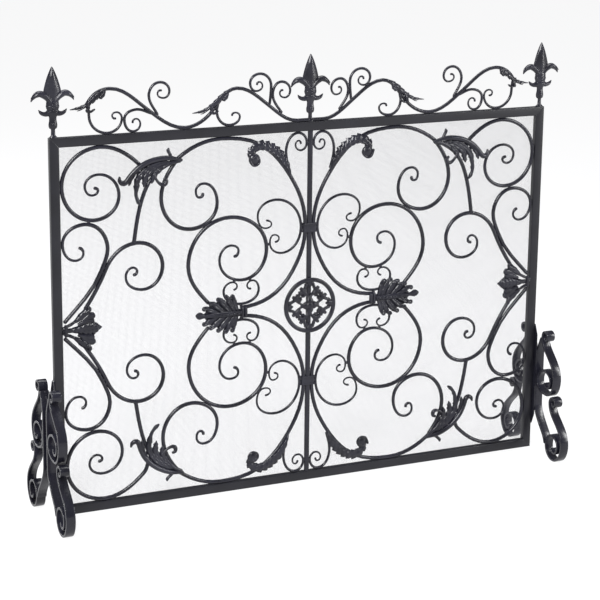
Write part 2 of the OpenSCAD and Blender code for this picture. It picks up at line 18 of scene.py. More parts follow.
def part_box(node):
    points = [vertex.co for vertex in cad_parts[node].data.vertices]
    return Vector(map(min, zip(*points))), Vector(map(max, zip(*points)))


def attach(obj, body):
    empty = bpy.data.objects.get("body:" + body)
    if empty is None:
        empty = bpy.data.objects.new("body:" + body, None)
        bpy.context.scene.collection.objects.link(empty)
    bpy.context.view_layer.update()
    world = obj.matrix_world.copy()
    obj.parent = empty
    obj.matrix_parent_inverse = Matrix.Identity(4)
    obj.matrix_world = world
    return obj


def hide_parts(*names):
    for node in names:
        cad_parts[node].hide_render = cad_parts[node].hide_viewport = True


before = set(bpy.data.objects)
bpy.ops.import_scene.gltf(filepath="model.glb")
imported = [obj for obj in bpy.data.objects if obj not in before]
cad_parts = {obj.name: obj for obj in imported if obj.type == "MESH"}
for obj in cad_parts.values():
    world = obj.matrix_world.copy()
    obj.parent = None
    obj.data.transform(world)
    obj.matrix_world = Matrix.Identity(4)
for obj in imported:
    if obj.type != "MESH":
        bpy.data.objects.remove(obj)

LOG = logging.getLogger("fireplace_screen")
MM = 0.001
ROOT = "root"
CAST_EDGE_DEG = 60.0       # edges of a cast leaf that turn less than this are shaded round
Array = np.ndarray


class Side(Enum):
    """Left and right as seen from the decorated front."""

    LEFT = -1
    RIGHT = 1

    @property
    def word(self) -> str:
        """The word that names carry for this side."""
        return self.name.lower()


class Slot(Enum):
    """Material slots of the record."""

    TUBE = "frame_tube"
    BAR = "wrought_bar"
    CAST = "cast_iron"
    WIRE = "woven_wire"
    BOLT = "bolt_steel"


# ---------------------------------------------------------------------------------------
# Finishes
# ---------------------------------------------------------------------------------------


def linear(hex_colour: str) -> tuple[float, float, float, float]:
    """Turns an sRGB hex colour into linear RGBA.

    Args:
        hex_colour: Six hex digits after a hash.

    Returns:
        Linear red, green, blue, and an alpha of one.
    """
    parts = [int(hex_colour[i:i + 2], 16) / 255 for i in (1, 3, 5)]
    rgb = [c / 12.92 if c <= 0.04045 else ((c + 0.055) / 1.055) ** 2.4 for c in parts]
    return rgb[0], rgb[1], rgb[2], 1.0


def add_node(tree: bpy.types.NodeTree, kind: str, settings: Optional[dict] = None,
             links: Optional[dict] = None) -> bpy.types.Node:
    """Adds one shader node with its settings and incoming links.

    Args:
        tree: The node tree that takes the node.
        kind: Blender's class name of the node.
        settings: Attribute names, or input socket names, and their values.
        links: Input socket names and the output sockets that feed them.

    Returns:
        The new node.
    """
    node = tree.nodes.new(kind)
    for name, value in (settings or {}).items():
        if hasattr(node, name):
            setattr(node, name, value)
        else:
            node.inputs[name].default_value = value
    for name, socket in (links or {}).items():
        tree.links.new(socket, node.inputs[name])
    return node


@dataclass(frozen=True)
class Finish:
    """A painted iron or steel surface.

    The colour drifts a little in broad patches, the paint has a fine skin, and the metal under
    it may show a coarser casting grain.
    """

    name: str
    colour: str                 # the paint in the open
    worn_colour: str            # where hands and brushes have rubbed it
    roughness: float
    roughness_spread: float
    skin_mm: float              # size of the paint's orange peel, or of the sprayed grain
    skin_height_mm: float
    grain_mm: float = 0.0       # size of the casting or scale grain below the paint
    grain_height_mm: float = 0.0
    metallic: float = 0.0
    specular: float = 0.36      # a thin matt skin takes a little off the paint's reflection
    patch_mm: float = 60.0      # size of the patches over which the colour drifts

    def build(self) -> bpy.types.Material:
        """Makes the material.

        Returns:
            The node-based material.
        """
        material = bpy.data.materials.new(self.name)
        material.use_nodes = True
        tree = material.node_tree
        tree.nodes.clear()
        place = add_node(tree, "ShaderNodeTexCoord").outputs["Object"]
        patches = add_node(tree, "ShaderNodeTexNoise",
                           {"Scale": 1 / (self.patch_mm * MM), "Detail": 3.0,
                            "Roughness": 0.55},
                           {"Vector": place})
        spread = add_node(tree, "ShaderNodeMapRange",
                          {"From Min": 0.35, "From Max": 0.72, "To Min": 0.0, "To Max": 1.0},
                          {"Value": patches.outputs["Fac"]})
        tint = add_node(tree, "ShaderNodeMix",
                        {"data_type": "RGBA"}, {"Factor": spread.outputs["Result"]})
        colours = [s for s in tint.inputs if s.type == "RGBA"]
        colours[0].default_value = linear(self.colour)
        colours[1].default_value = linear(self.worn_colour)
        skin = add_node(tree, "ShaderNodeTexNoise",
                        {"Scale": 1 / (self.skin_mm * MM), "Detail": 2.0, "Roughness": 0.6},
                        {"Vector": place})
        gloss = add_node(tree, "ShaderNodeMapRange",
                         {"From Min": 0.3, "From Max": 0.75,
                          "To Min": self.roughness - self.roughness_spread,
                          "To Max": self.roughness + self.roughness_spread},
                         {"Value": skin.outputs["Fac"]})
        bump = add_node(tree, "ShaderNodeBump",
                        {"Strength": 1.0, "Distance": self.skin_height_mm * MM},
                        {"Height": skin.outputs["Fac"]})
        if self.grain_mm:
            grain = add_node(tree, "ShaderNodeTexNoise",
                             {"Scale": 1 / (self.grain_mm * MM), "Detail": 4.0,
                              "Roughness": 0.65}, {"Vector": place})
            bump = add_node(tree, "ShaderNodeBump",
                            {"Strength": 1.0, "Distance": self.grain_height_mm * MM},
                            {"Height": grain.outputs["Fac"], "Normal": bump.outputs["Normal"]})
        shader = add_node(tree, "ShaderNodeBsdfPrincipled",
                          {"Metallic": self.metallic,
                           "Specular IOR Level": self.specular},
                          {"Base Color": next(s for s in tint.outputs if s.type == "RGBA"),
                           "Roughness": gloss.outputs["Result"],
                           "Normal": bump.outputs["Normal"]})
        add_node(tree, "ShaderNodeOutputMaterial", None, {"Surface": shader.outputs["BSDF"]})
        return material


class Finishes:
    """One built material for each slot of the record."""

    # Powder-coated steel tube: an even satin black with a very fine orange peel, so that the
    # flat faces stay calm and only the corners catch a line of light
    TUBE = Finish("satin_black_powder_coat_tube", "#121217", "#19191f", 0.36, 0.06,
                  skin_mm=1.2, skin_height_mm=0.02)
    # Brush-painted bent bar: enamel over hammer-softened mill scale, glossier than the tube,
    # with slow dents that break the long highlights
    BAR = Finish("gloss_black_wrought_bar", "#111118", "#1e1e27", 0.25, 0.07,
                 skin_mm=1.4, skin_height_mm=0.012, grain_mm=9.0, grain_height_mm=0.10)
    # Sand-cast iron under black paint: a grain of about two millimetres breaks up the gloss
    CAST = Finish("black_sand_cast_iron", "#101017", "#24242d", 0.28, 0.09,
                  skin_mm=0.9, skin_height_mm=0.03, grain_mm=2.4, grain_height_mm=0.12)
    # Plain drawn steel wire, thinly oiled: a soft grey sheen that reads as a pale veil
    WIRE = Finish("drawn_steel_wire", "#56565e", "#666670", 0.42, 0.05,
                  skin_mm=0.6, skin_height_mm=0.01, metallic=0.6)
    # Black-oxide hexagon bolts: darker and smoother than the paint around them
    BOLT = Finish("black_oxide_steel", "#1b1b1f", "#26262b", 0.30, 0.05,
                  skin_mm=0.5, skin_height_mm=0.01, metallic=0.5)

    def __init__(self) -> None:
        """Builds the five materials."""
        self.by_slot = {slot: getattr(self, slot.name).build() for slot in Slot}


# ---------------------------------------------------------------------------------------
# Layout, read from the frame
# ---------------------------------------------------------------------------------------


@dataclass(frozen=True)
class Layout:
    """Where things are on the screen, in millimetres."""

    open_w: float            # half width of the frame's opening
    open_h: float            # half height of it
    frame_half_w: float      # half width over the stiles
    mid_z: float             # middle of the opening
    top_z: float             # top of the top rail
    bottom_z: float          # underside of the bottom rail
    tube_face: float         # width of the tubes from the front
    tube_half_depth: float
    front_y: float           # front of the scroll bars
    bar_y: float             # middle of the scroll bars
    mesh_y: float            # middle of the wire mesh
    finial_x: float          # from the middle to an outer finial
    foot_x: tuple[float, float]     # inner and outer face of the right foot's bars

    @staticmethod
    def read() -> "Layout":
        """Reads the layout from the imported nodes.

        Returns:
            The layout.
        """
        boxes = {node: [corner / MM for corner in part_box(node)]
                 for node in ("top_rail", "bottom_rail", "right_stile", "right_corner_scrolls",
                              "wire_mesh", "right_foot_bars")}
        rail_low, rail_high = boxes["top_rail"]
        base_low, base_high = boxes["bottom_rail"]
        scroll_low, scroll_high = boxes["right_corner_scrolls"]
        face = rail_high.z - rail_low.z
        return Layout(
            open_w=boxes["right_stile"][0].x, open_h=(rail_low.z - base_high.z) / 2,
            frame_half_w=rail_high.x, mid_z=(rail_low.z + base_high.z) / 2,
            top_z=rail_high.z, bottom_z=base_low.z, tube_face=face,
            tube_half_depth=(rail_high.y - rail_low.y) / 2,
            front_y=scroll_low.y, bar_y=(scroll_low.y + scroll_high.y) / 2,
            mesh_y=sum(corner.y for corner in boxes["wire_mesh"]) / 2,
            finial_x=rail_high.x - face / 2,
            foot_x=tuple(corner.x for corner in boxes["right_foot_bars"]))


# ---------------------------------------------------------------------------------------
# Mesh building
# ---------------------------------------------------------------------------------------


def smooth_step(t: Array | float) -> Array | float:
    """Eases from nought to one.

    Args:
        t: Position, clipped to nought and one.

    Returns:
        The eased position.
    """
    c = np.clip(t, 0.0, 1.0)
    return c * c * (3 - 2 * c)


def heading(degrees: float) -> Array:
    """The unit vector at an angle from outward towards up."""
    return np.array([math.cos(math.radians(degrees)), math.sin(math.radians(degrees))])


def rounded_ring(angle: Array, across: float, along: float) -> tuple[Array, Array]:
    """Cosines and sines bent towards a square or a diamond.

    Args:
        angle: The angles round the ring, in radians.
        across: Power of the cosine: 1 for an oval, less for a squarer ring.
        along: Power of the sine.

    Returns:
        The two factors of each point.
    """
    c, s = np.cos(angle), np.sin(angle)
    return np.sign(c) * np.abs(c) ** across, np.sign(s) * np.abs(s) ** along


def turn_steps(sides: int) -> Array:
    """Equal angles round a circle, in radians."""
    return np.arange(sides) * 2 * math.pi / sides


def eased_section(low: float, high: float, half: float, r: float, steps: int,
                  inset: float = 0.0) -> Array:
    """A rectangle with rounded corners.

    Args:
        low: Its start along the first axis.
        high: Its end along the first axis.
        half: Half its size along the second axis.
        r: Radius of its corners.
        steps: Points in each corner.
        inset: How far it is shrunk all round.

    Returns:
        Two columns of points.
    """
    corners = ((high - r, half - r), (low + r, half - r), (low + r, -half + r),
               (high - r, -half + r))
    return np.array([(cx + (r - inset) * math.cos(a), cy + (r - inset) * math.sin(a))
                     for quarter, (cx, cy) in enumerate(corners)
                     for a in np.radians(np.linspace(90 * quarter, 90 * quarter + 90, steps))])


def trace(knots: Sequence[Sequence[float]], scale: Sequence[float] = (1, 1),
          lift: float = 0.0, step_deg: float = 7.0) -> Array:
    """Joins knots by smooth arcs.

    Args:
        knots: Each is outward, up, and heading in degrees.
        scale: Stretch outward and up.
        lift: Added to every height, after the stretch.
        step_deg: Largest turn between two points.

    Returns:
        Points of the run, one row each.
    """
    rows = []
    for a, b in zip(knots[:-1], knots[1:]):
        turn = (b[2] - a[2]) - 360 * round((b[2] - a[2]) / 360)
        start, end = np.array(a[:2], float), np.array(b[:2], float)
        reach = np.linalg.norm(end - start) / (3 * math.cos(math.radians(turn / 4)) ** 2)
        lead = start + reach * heading(a[2])
        tail = end - reach * heading(b[2])
        steps = max(4, math.ceil(abs(turn) / step_deg))
        t = (np.arange(steps) / steps)[:, None]
        r = 1 - t
        rows.append(r ** 3 * start + 3 * r * r * t * lead + 3 * r * t * t * tail + t ** 3 * end)
    rows.append(np.array([knots[-1][:2]], float))
    return np.vstack(rows) * np.array(scale) + np.array([0.0, lift])


def through(points: Sequence[Sequence[float]], count: int) -> Array:
    """Runs a smooth curve through points.

    Args:
        points: The points to pass through.
        count: How many points to return.

    Returns:
        Points spaced evenly along the curve.
    """
    p = np.array(points, float)
    ends = np.vstack([2 * p[0] - p[1], p, 2 * p[-1] - p[-2]])
    dense = []
    for i in range(len(p) - 1):
        a, b, c, d = ends[i:i + 4]
        t = np.linspace(0, 1, 24, endpoint=False)[:, None]
        dense.append(0.5 * (2 * b + (c - a) * t + (2 * a - 5 * b + 4 * c - d) * t ** 2
                            + (3 * b - a - 3 * c + d) * t ** 3))
    dense.append(p[-1:])
    return even(np.vstack(dense), count)


def even(points: Array, count: int) -> Array:
    """Spaces points evenly along a polyline.

    Args:
        points: The polyline.
        count: How many points to return.

    Returns:
        The evenly spaced points.
    """
    length = np.concatenate([[0], np.cumsum(np.linalg.norm(np.diff(points, axis=0), axis=1))])
    want = np.linspace(0, length[-1], count)
    return np.stack([np.interp(want, length, points[:, k]) for k in range(points.shape[1])], 1)


def directions(points: Array) -> tuple[Array, Array]:
    """Finds which way a flat polyline runs.

    Args:
        points: Two columns.

    Returns:
        Unit tangents, and unit normals to their left.
    """
    tangent = np.gradient(points, axis=0)
    tangent /= np.linalg.norm(tangent, axis=1)[:, None] + 1e-12
    return tangent, np.stack([-tangent[:, 1], tangent[:, 0]], 1)


@dataclass
class Shape:
    """Points and faces in millimetres, gathered before they become one object."""

    points: list = field(default_factory=list)
    faces: list = field(default_factory=list)
    count: int = 0

    def add(self, points: Array, faces: Sequence[Sequence[int]]) -> "Shape":
        """Adds a closed piece of mesh.

        Args:
            points: Rows of x, y, z.
            faces: Indices into those rows.

        Returns:
            This shape.
        """
        self.points.append(np.asarray(points, float))
        self.faces.extend([tuple(i + self.count for i in f) for f in faces])
        self.count += len(points)
        return self

    def join(self, other: "Shape") -> "Shape":
        """Adds another shape to this one."""
        return self.add(other.all_points(), other.faces) if other.count else self

    def all_points(self) -> Array:
        """All points in one array."""
        return np.vstack(self.points)

    def moved(self, matrix: Matrix) -> "Shape":
        """Copies the shape through a matrix.

        Args:
            matrix: A 4 by 4 matrix. A mirror turns the faces round.

        Returns:
            The moved copy.
        """
        m = np.array(matrix)
        points = self.all_points() @ m[:3, :3].T + m[:3, 3]
        flip = np.linalg.det(m[:3, :3]) < 0
        faces = [tuple(reversed(f)) for f in self.faces] if flip else self.faces
        return Shape().add(points, faces)

    def lofted(self, rings: Array, cap_start: bool = True, cap_end: bool = True) -> "Shape":
        """Adds a skin over rings of equal length.

        Args:
            rings: Ring by ring, point by point, x, y, z.
            cap_start: Whether the first ring is closed by a face.
            cap_end: Whether the last ring is closed by a face.

        Returns:
            This shape.
        """
        n, m = rings.shape[:2]
        faces = [(i * m + j, i * m + (j + 1) % m, (i + 1) * m + (j + 1) % m, (i + 1) * m + j)
                 for i in range(n - 1) for j in range(m)]
        if cap_start:
            faces.append(tuple(range(m - 1, -1, -1)))
        if cap_end:
            faces.append(tuple(range((n - 1) * m, n * m)))
        return self.add(rings.reshape(-1, 3), faces)

    def swept(self, path: Array, radius: Array, y: Array | float, depth: Array | float = 1.0,
              sides: int = 14, power: float = 2.0) -> "Shape":
        """Sweeps a round or oval bar along a path in the panel's plane.

        Args:
            path: Outward and up, one row a point.
            radius: Half thickness in the plane, one value a point.
            y: Depth at which the middle of the bar runs.
            depth: Half depth of the bar over its half thickness.
            sides: Points in each ring.
            power: 2 for an oval, more for a squarer bar, less for a ridged one.

        Returns:
            This shape.
        """
        tangent, normal = directions(path)
        radius = np.asarray(radius, float) * np.ones(len(path))
        y = np.asarray(y, float) * np.ones(len(path))
        depth = np.asarray(depth, float) * np.ones(len(path))
        caps = np.radians([75, 50, 25])
        first = [(path[0] - tangent[0] * radius[0] * math.sin(a) * 0.7, normal[0],
                  radius[0] * math.cos(a), y[0], depth[0]) for a in caps]
        last = [(path[-1] + tangent[-1] * radius[-1] * math.sin(a) * 0.7, normal[-1],
                 radius[-1] * math.cos(a), y[-1], depth[-1]) for a in caps[::-1]]
        body = list(zip(path, normal, radius, y, depth))
        c, s = rounded_ring(turn_steps(sides), 2 / power, 2 / power)
        rings = [np.stack([p[0] + n[0] * r * c, np.full(sides, yy) + r * d * s,
                           p[1] + n[1] * r * c], 1) for p, n, r, yy, d in first + body + last]
        return self.lofted(np.array(rings)[:, ::-1])

    def rod(self, points: Sequence[Sequence[float]], count: int,
            radii: Sequence[Sequence[float]], y: float, depth: float = 1.0, sides: int = 14,
            power: float = 2.0) -> "Shape":
        """Sweeps a bar of changing thickness smoothly through points.

        Args:
            points: Outward and up.
            count: Rings along the bar.
            radii: Pairs of position along it, 0 to 1, and half thickness there.
            y: Depth of its middle.
            depth: Half depth of the bar over its half thickness.
            sides: Points in each ring.
            power: 2 for an oval, more for a squarer bar, less for a ridged one.

        Returns:
            This shape.
        """
        radius = np.interp(np.linspace(0, 1, count), *zip(*radii))
        return self.swept(through(points, count), radius, y, depth, sides, power)

    def turned(self, profile: Sequence[Sequence[float]], sides: int = 32,
               depth: float = 1.0) -> "Shape":
        """Turns a profile about the upright axis.

        Args:
            profile: Radius and height, from the bottom up.
            sides: Points in each ring.
            depth: Depth of the turning over its width.

        Returns:
            This shape.
        """
        angle = turn_steps(sides)
        rings = [np.stack([r * np.cos(angle), r * depth * np.sin(angle),
                           np.full(sides, float(h))], 1) for r, h in profile]
        return self.lofted(np.array(rings))

    def blob(self, centre: Sequence[float], radii: Sequence[float], sides: int = 14,
             power: float = 2.0) -> "Shape":
        """Adds a rounded lump.

        Args:
            centre: x, y, z.
            radii: Half sizes along x, y, z.
            sides: Points in each ring.
            power: 2 for an ellipsoid, more for a squarer lump.

        Returns:
            This shape.
        """
        c, s = rounded_ring(turn_steps(sides), 2 / power, 2 / power)
        pole = math.pi / 2 - 0.12
        level, rise = rounded_ring(np.linspace(-pole, pole, 9), 2 / power, 2 / power)
        rings = [np.stack([centre[0] + radii[0] * out * c, centre[1] + radii[1] * out * s,
                           np.full(sides, centre[2] + radii[2] * up)], 1)
                 for out, up in zip(level, rise)]
        return self.lofted(np.array(rings))

    def leaf(self, blade: "Blade", y: float) -> "Shape":
        """Adds a modelled leaf blade whose back lies at depth y."""
        return self.lofted(blade.rings(y))

    def to_object(self, name: str, material: bpy.types.Material,
                  sharp_deg: float = 40.0) -> bpy.types.Object:
        """Makes the object.

        Args:
            name: Name of the piece.
            material: Its finish.
            sharp_deg: Edges that turn more than this stay crisp.

        Returns:
            The linked mesh object.
        """
        mesh = bpy.data.meshes.new(name)
        mesh.from_pydata((self.all_points() * MM).tolist(), [], self.faces)
        mesh.validate()
        mesh.update()
        mesh.materials.append(material)
        mesh.shade_smooth()
        mesh.set_sharp_from_angle(angle=math.radians(sharp_deg))
        thing = bpy.data.objects.new(name, mesh)
        bpy.context.scene.collection.objects.link(thing)
        return thing


@dataclass(frozen=True)
class Blade:
    """One lobe of a cast leaf: a domed, veined blade on a curved midrib.

    Widths are given as pairs of position along the rib, 0 to 1, and half width.
    """

    rib: tuple                       # points the midrib passes through: outward, up
    left: tuple                      # half width to the left of the rib
    right: Optional[tuple] = None    # half width to the right; the same as left if None
    dome: float = 4.0                # height of the blade's middle over its rim
    rim: float = 1.6                 # thickness of the rim
    teeth: float = 0.0               # how many teeth and veins run along the edge
    tooth: float = 0.0               # how deep the teeth cut, as a share of the width
    vein: float = 0.0                # depth of the grooves between veins
    lean: float = 0.0                # how far the veins lean towards the tip, over the width
    groove: float = 0.0              # depth of the groove along the midrib
    curl: float = 0.0                # how far the tip rises to the front
    along: int = 40
    across: int = 17

    def rings(self, y: float) -> Array:
        """The blade's rings, back and front together.

        Args:
            y: Depth of the blade's flat back.

        Returns:
            Ring by ring, point by point, x, y, z.
        """
        rib = through(self.rib, self.along)
        tangent, normal = directions(rib)
        t = np.linspace(0, 1, self.along)[:, None]
        s = np.sin(np.linspace(-math.pi / 2, math.pi / 2, self.across))[None, :]
        left = np.interp(t, *zip(*self.left))
        right = np.interp(t, *zip(*(self.right or self.left)))
        width = np.where(s > 0, left, right)
        edge = np.abs(s)
        wave = np.mod(self.teeth * t, 1.0)
        cut = self.tooth * wave * smooth_step((edge - 0.45) / 0.55) if self.teeth else 0.0
        reach = s * width * (1 - cut)
        push = self.lean * edge * width * smooth_step((1 - t) * 6)
        x = rib[:, :1] + normal[:, :1] * reach + tangent[:, :1] * push
        z = rib[:, 1:] + normal[:, 1:] * reach + tangent[:, 1:] * push
        full = np.minimum(1.0, np.maximum(left, right) / (0.45 * max(w for _, w in self.left)))
        high = self.rim + self.dome * (1 - edge ** 2.2) * full
        if self.teeth:
            high = high - self.vein * np.abs(np.cos(math.pi * wave)) ** 3 * edge * full
        high = high - self.groove * np.exp(-(s * width / 1.6) ** 2) * full
        front = y - high - self.curl * t ** 3
        back = y - self.curl * t ** 3 + 0 * s
        upper = np.stack([x, front, z], 2)
        lower = np.stack([x, back, z], 2)[:, ::-1]
        return np.concatenate([upper, lower], 1)


def mirror_x(side: Side) -> Matrix:
    """The matrix that puts a right-hand shape on a side."""
    return Matrix.Diagonal((float(side.value), 1.0, 1.0, 1.0))


def upright(layout: Layout, down: bool, turn_deg: float = 0.0,
            about: Sequence[float] = (0.0, 0.0)) -> Matrix:
    """The matrix that lifts a quarter's shape to the panel's middle height.

    Args:
        layout: Where the panel is.
        down: Whether the quarter is the lower one, in mirror image.
        turn_deg: Turn of the shape in its plane before that, from outward towards up.
        about: The point it turns about: outward, up.

    Returns:
        The matrix.
    """
    pivot = Matrix.Translation((about[0], 0, about[1]))
    turn = pivot @ Matrix.Rotation(-math.radians(turn_deg), 4, "Y") @ pivot.inverted()
    flip = Matrix.Diagonal((1.0, 1.0, -1.0 if down else 1.0, 1.0))
    return Matrix.Translation((0, 0, layout.mid_z)) @ flip @ turn


# ---------------------------------------------------------------------------------------
# The workshop: what every sub-assembly shares
# ---------------------------------------------------------------------------------------


@dataclass
class Shop:
    """Layout, finishes, and the placing of finished pieces on the frame."""

    layout: Layout
    finishes: Finishes

    def fit(self, shape: Shape, name: str, slot: Slot, nodes: Sequence[str] = (),
            sharp_deg: float = 40.0) -> bpy.types.Object:
        """Turns a shape into a finished piece of the screen.

        Args:
            shape: The gathered mesh.
            name: Name of the piece.
            slot: The record's slot that it takes its finish from.
            nodes: Frame nodes that it stands for.
            sharp_deg: Edges that turn more than this stay crisp.

        Returns:
            The finished object.
        """
        piece = shape.to_object(name, self.finishes.by_slot[slot], sharp_deg)
        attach(piece, ROOT)
        if nodes:
            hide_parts(*nodes)
        LOG.info("%s: %d faces, stands for %s", name, len(shape.faces), ", ".join(nodes) or "-")
        return piece


@dataclass(frozen=True)
class Bar:
    """A bent bar: its knots, its thickness, and how much of each end is drawn thinner."""

    knots: tuple
    thickness: float = 8.0
    tapers: tuple[float, float] = (0.0, 0.5)
    tip_share: float = 0.6
    snub: bool = True       # whether a drawn-out tip ends in a small hammered snub

    def radii(self, count: int, length: float) -> Array:
        """Half thickness along the bar.

        Args:
            count: Number of points along the bar.
            length: Length of the bar.

        Returns:
            One half thickness a point.
        """
        t = np.linspace(0, 1, count)
        start = smooth_step(t / self.tapers[0]) if self.tapers[0] else np.ones(count)
        end = smooth_step((1 - t) / self.tapers[1]) if self.tapers[1] else np.ones(count)
        half = self.thickness / 2 * (self.tip_share + (1 - self.tip_share) * np.minimum(start, end))
        if self.snub:
            swell = self.thickness * 0.9 / length
            for drawn, gone in ((self.tapers[1], 1 - t), (self.tapers[0], t)):
                if drawn:
                    half = half * (1 + 0.38 * np.exp(-((gone - 0.4 * swell) / swell) ** 2))
        return half

    def build(self, scale: Sequence[float], y: float, lift: float = 0.0) -> Shape:
        """Sweeps the bar.

        Args:
            scale: Stretch outward and up.
            y: Depth of the bar's middle.
            lift: Added to its heights.

        Returns:
            The swept bar.
        """
        path = trace(self.knots, scale, lift)
        length = float(np.linalg.norm(np.diff(path, axis=0), axis=1).sum())
        path = even(path, max(24, int(length / 3.2)))
        return Shape().swept(path, self.radii(len(path), length), y)


def weld_spots(spots: Sequence[Sequence[float]], scale: Sequence[float], y: float,
               lift: float = 0.0, radius: float = 3.3) -> Shape:
    """Small weld beads where two bars touch.

    Args:
        spots: Outward and up.
        scale: Stretch outward and up.
        y: Depth of the bars' middle.
        lift: Added to the heights.
        radius: Radius of a bead.

    Returns:
        The beads.
    """
    shape = Shape()
    for u, w in spots:
        shape.blob((u * scale[0], y, w * scale[1] + lift), (radius, radius * 0.85, radius))
    return shape


# ---------------------------------------------------------------------------------------
# Frame, mesh and middle
# ---------------------------------------------------------------------------------------


@dataclass
class FrameTubes:
    """Four mitred lengths of rectangular tube, with the soft corners of drawn tube."""

    shop: Shop
    corner_r: float = 1.6
    seam: float = 0.25       # how far the ground weld dips at a mitre

    def section(self, inset: float) -> Array:
        """The tube's section.

        Args:
            inset: How far the section is shrunk.

        Returns:
            Distance in from the frame's edge, and depth.
        """
        lay = self.shop.layout
        return eased_section(0, lay.tube_face, lay.tube_half_depth, self.corner_r, 5, inset)

    def tube(self, half_along: float, outer: float) -> Shape:
        """One tube along x whose outer edge is at height outer above the middle.

        Args:
            half_along: Half the frame's size along the tube.
            outer: Half the frame's size across it.

        Returns:
            The mitred tube.
        """
        rings = []
        for end, back, inset in ((-1, 0, self.seam), (-1, 0.5, 0.06), (-1, 1.0, 0.0),
                                 (1, 1.0, 0.0), (1, 0.5, 0.06), (1, 0, self.seam)):
            s = self.section(inset)
            rings.append(np.stack([end * (half_along - s[:, 0] - back), s[:, 1],
                                   outer - s[:, 0]], 1))
        return Shape().lofted(np.array(rings)[:, ::-1])

    def build(self) -> None:
        """Builds rails and stiles."""
        lay = self.shop.layout
        half_h = (lay.top_z - lay.bottom_z) / 2
        rail = self.tube(lay.frame_half_w, half_h)
        lift = Matrix.Translation((0, 0, lay.mid_z))
        flip = Matrix.Diagonal((1.0, 1.0, -1.0, 1.0))
        self.shop.fit(rail.moved(lift), "rail_top", Slot.TUBE, ["top_rail"])
        self.shop.fit(rail.moved(lift @ flip), "rail_bottom", Slot.TUBE, ["bottom_rail"])
        stile = self.tube(half_h, lay.frame_half_w).moved(Matrix.Rotation(math.pi / 2, 4, "Y"))
        for side in Side:
            self.shop.fit(stile.moved(lift @ mirror_x(side)), f"stile_{side.word}", Slot.TUBE,
                          [f"{side.word}_stile"])


@dataclass
class WireCloth:
    """Fine wire cloth behind the scrollwork, wire by wire.

    Real cloth of this kind is finer; the pitch is as coarse as it needs to be to show.
    """

    shop: Shop
    pitch: float = 2.4
    wire_r: float = 0.102

    def build(self) -> None:
        """Lays the upright wires behind the level ones."""
        lay = self.shop.layout
        shape = Shape()
        r = self.wire_r
        square = np.array([(-r, -r), (r, -r), (r, r), (-r, r)])
        for half_run, half_span, level in ((lay.open_w, lay.open_h, True),
                                           (lay.open_h, lay.open_w, False)):
            count = int(2 * half_span / self.pitch)
            for k in range(count):
                at = (k - (count - 1) / 2) * self.pitch
                y = lay.mesh_y + (-r if level else r)
                ends = []
                for run in (-half_run, half_run):
                    if level:
                        ends.append(np.stack([np.full(4, run), y + square[:, 0],
                                              lay.mid_z + at + square[:, 1]], 1))
                    else:
                        ends.append(np.stack([at + square[:, 1], y + square[:, 0],
                                              np.full(4, lay.mid_z + run)], 1))
                shape.lofted(np.array(ends) if level else np.array(ends)[:, ::-1])
        self.shop.fit(shape, "wire_cloth", Slot.WIRE, ["wire_mesh"])


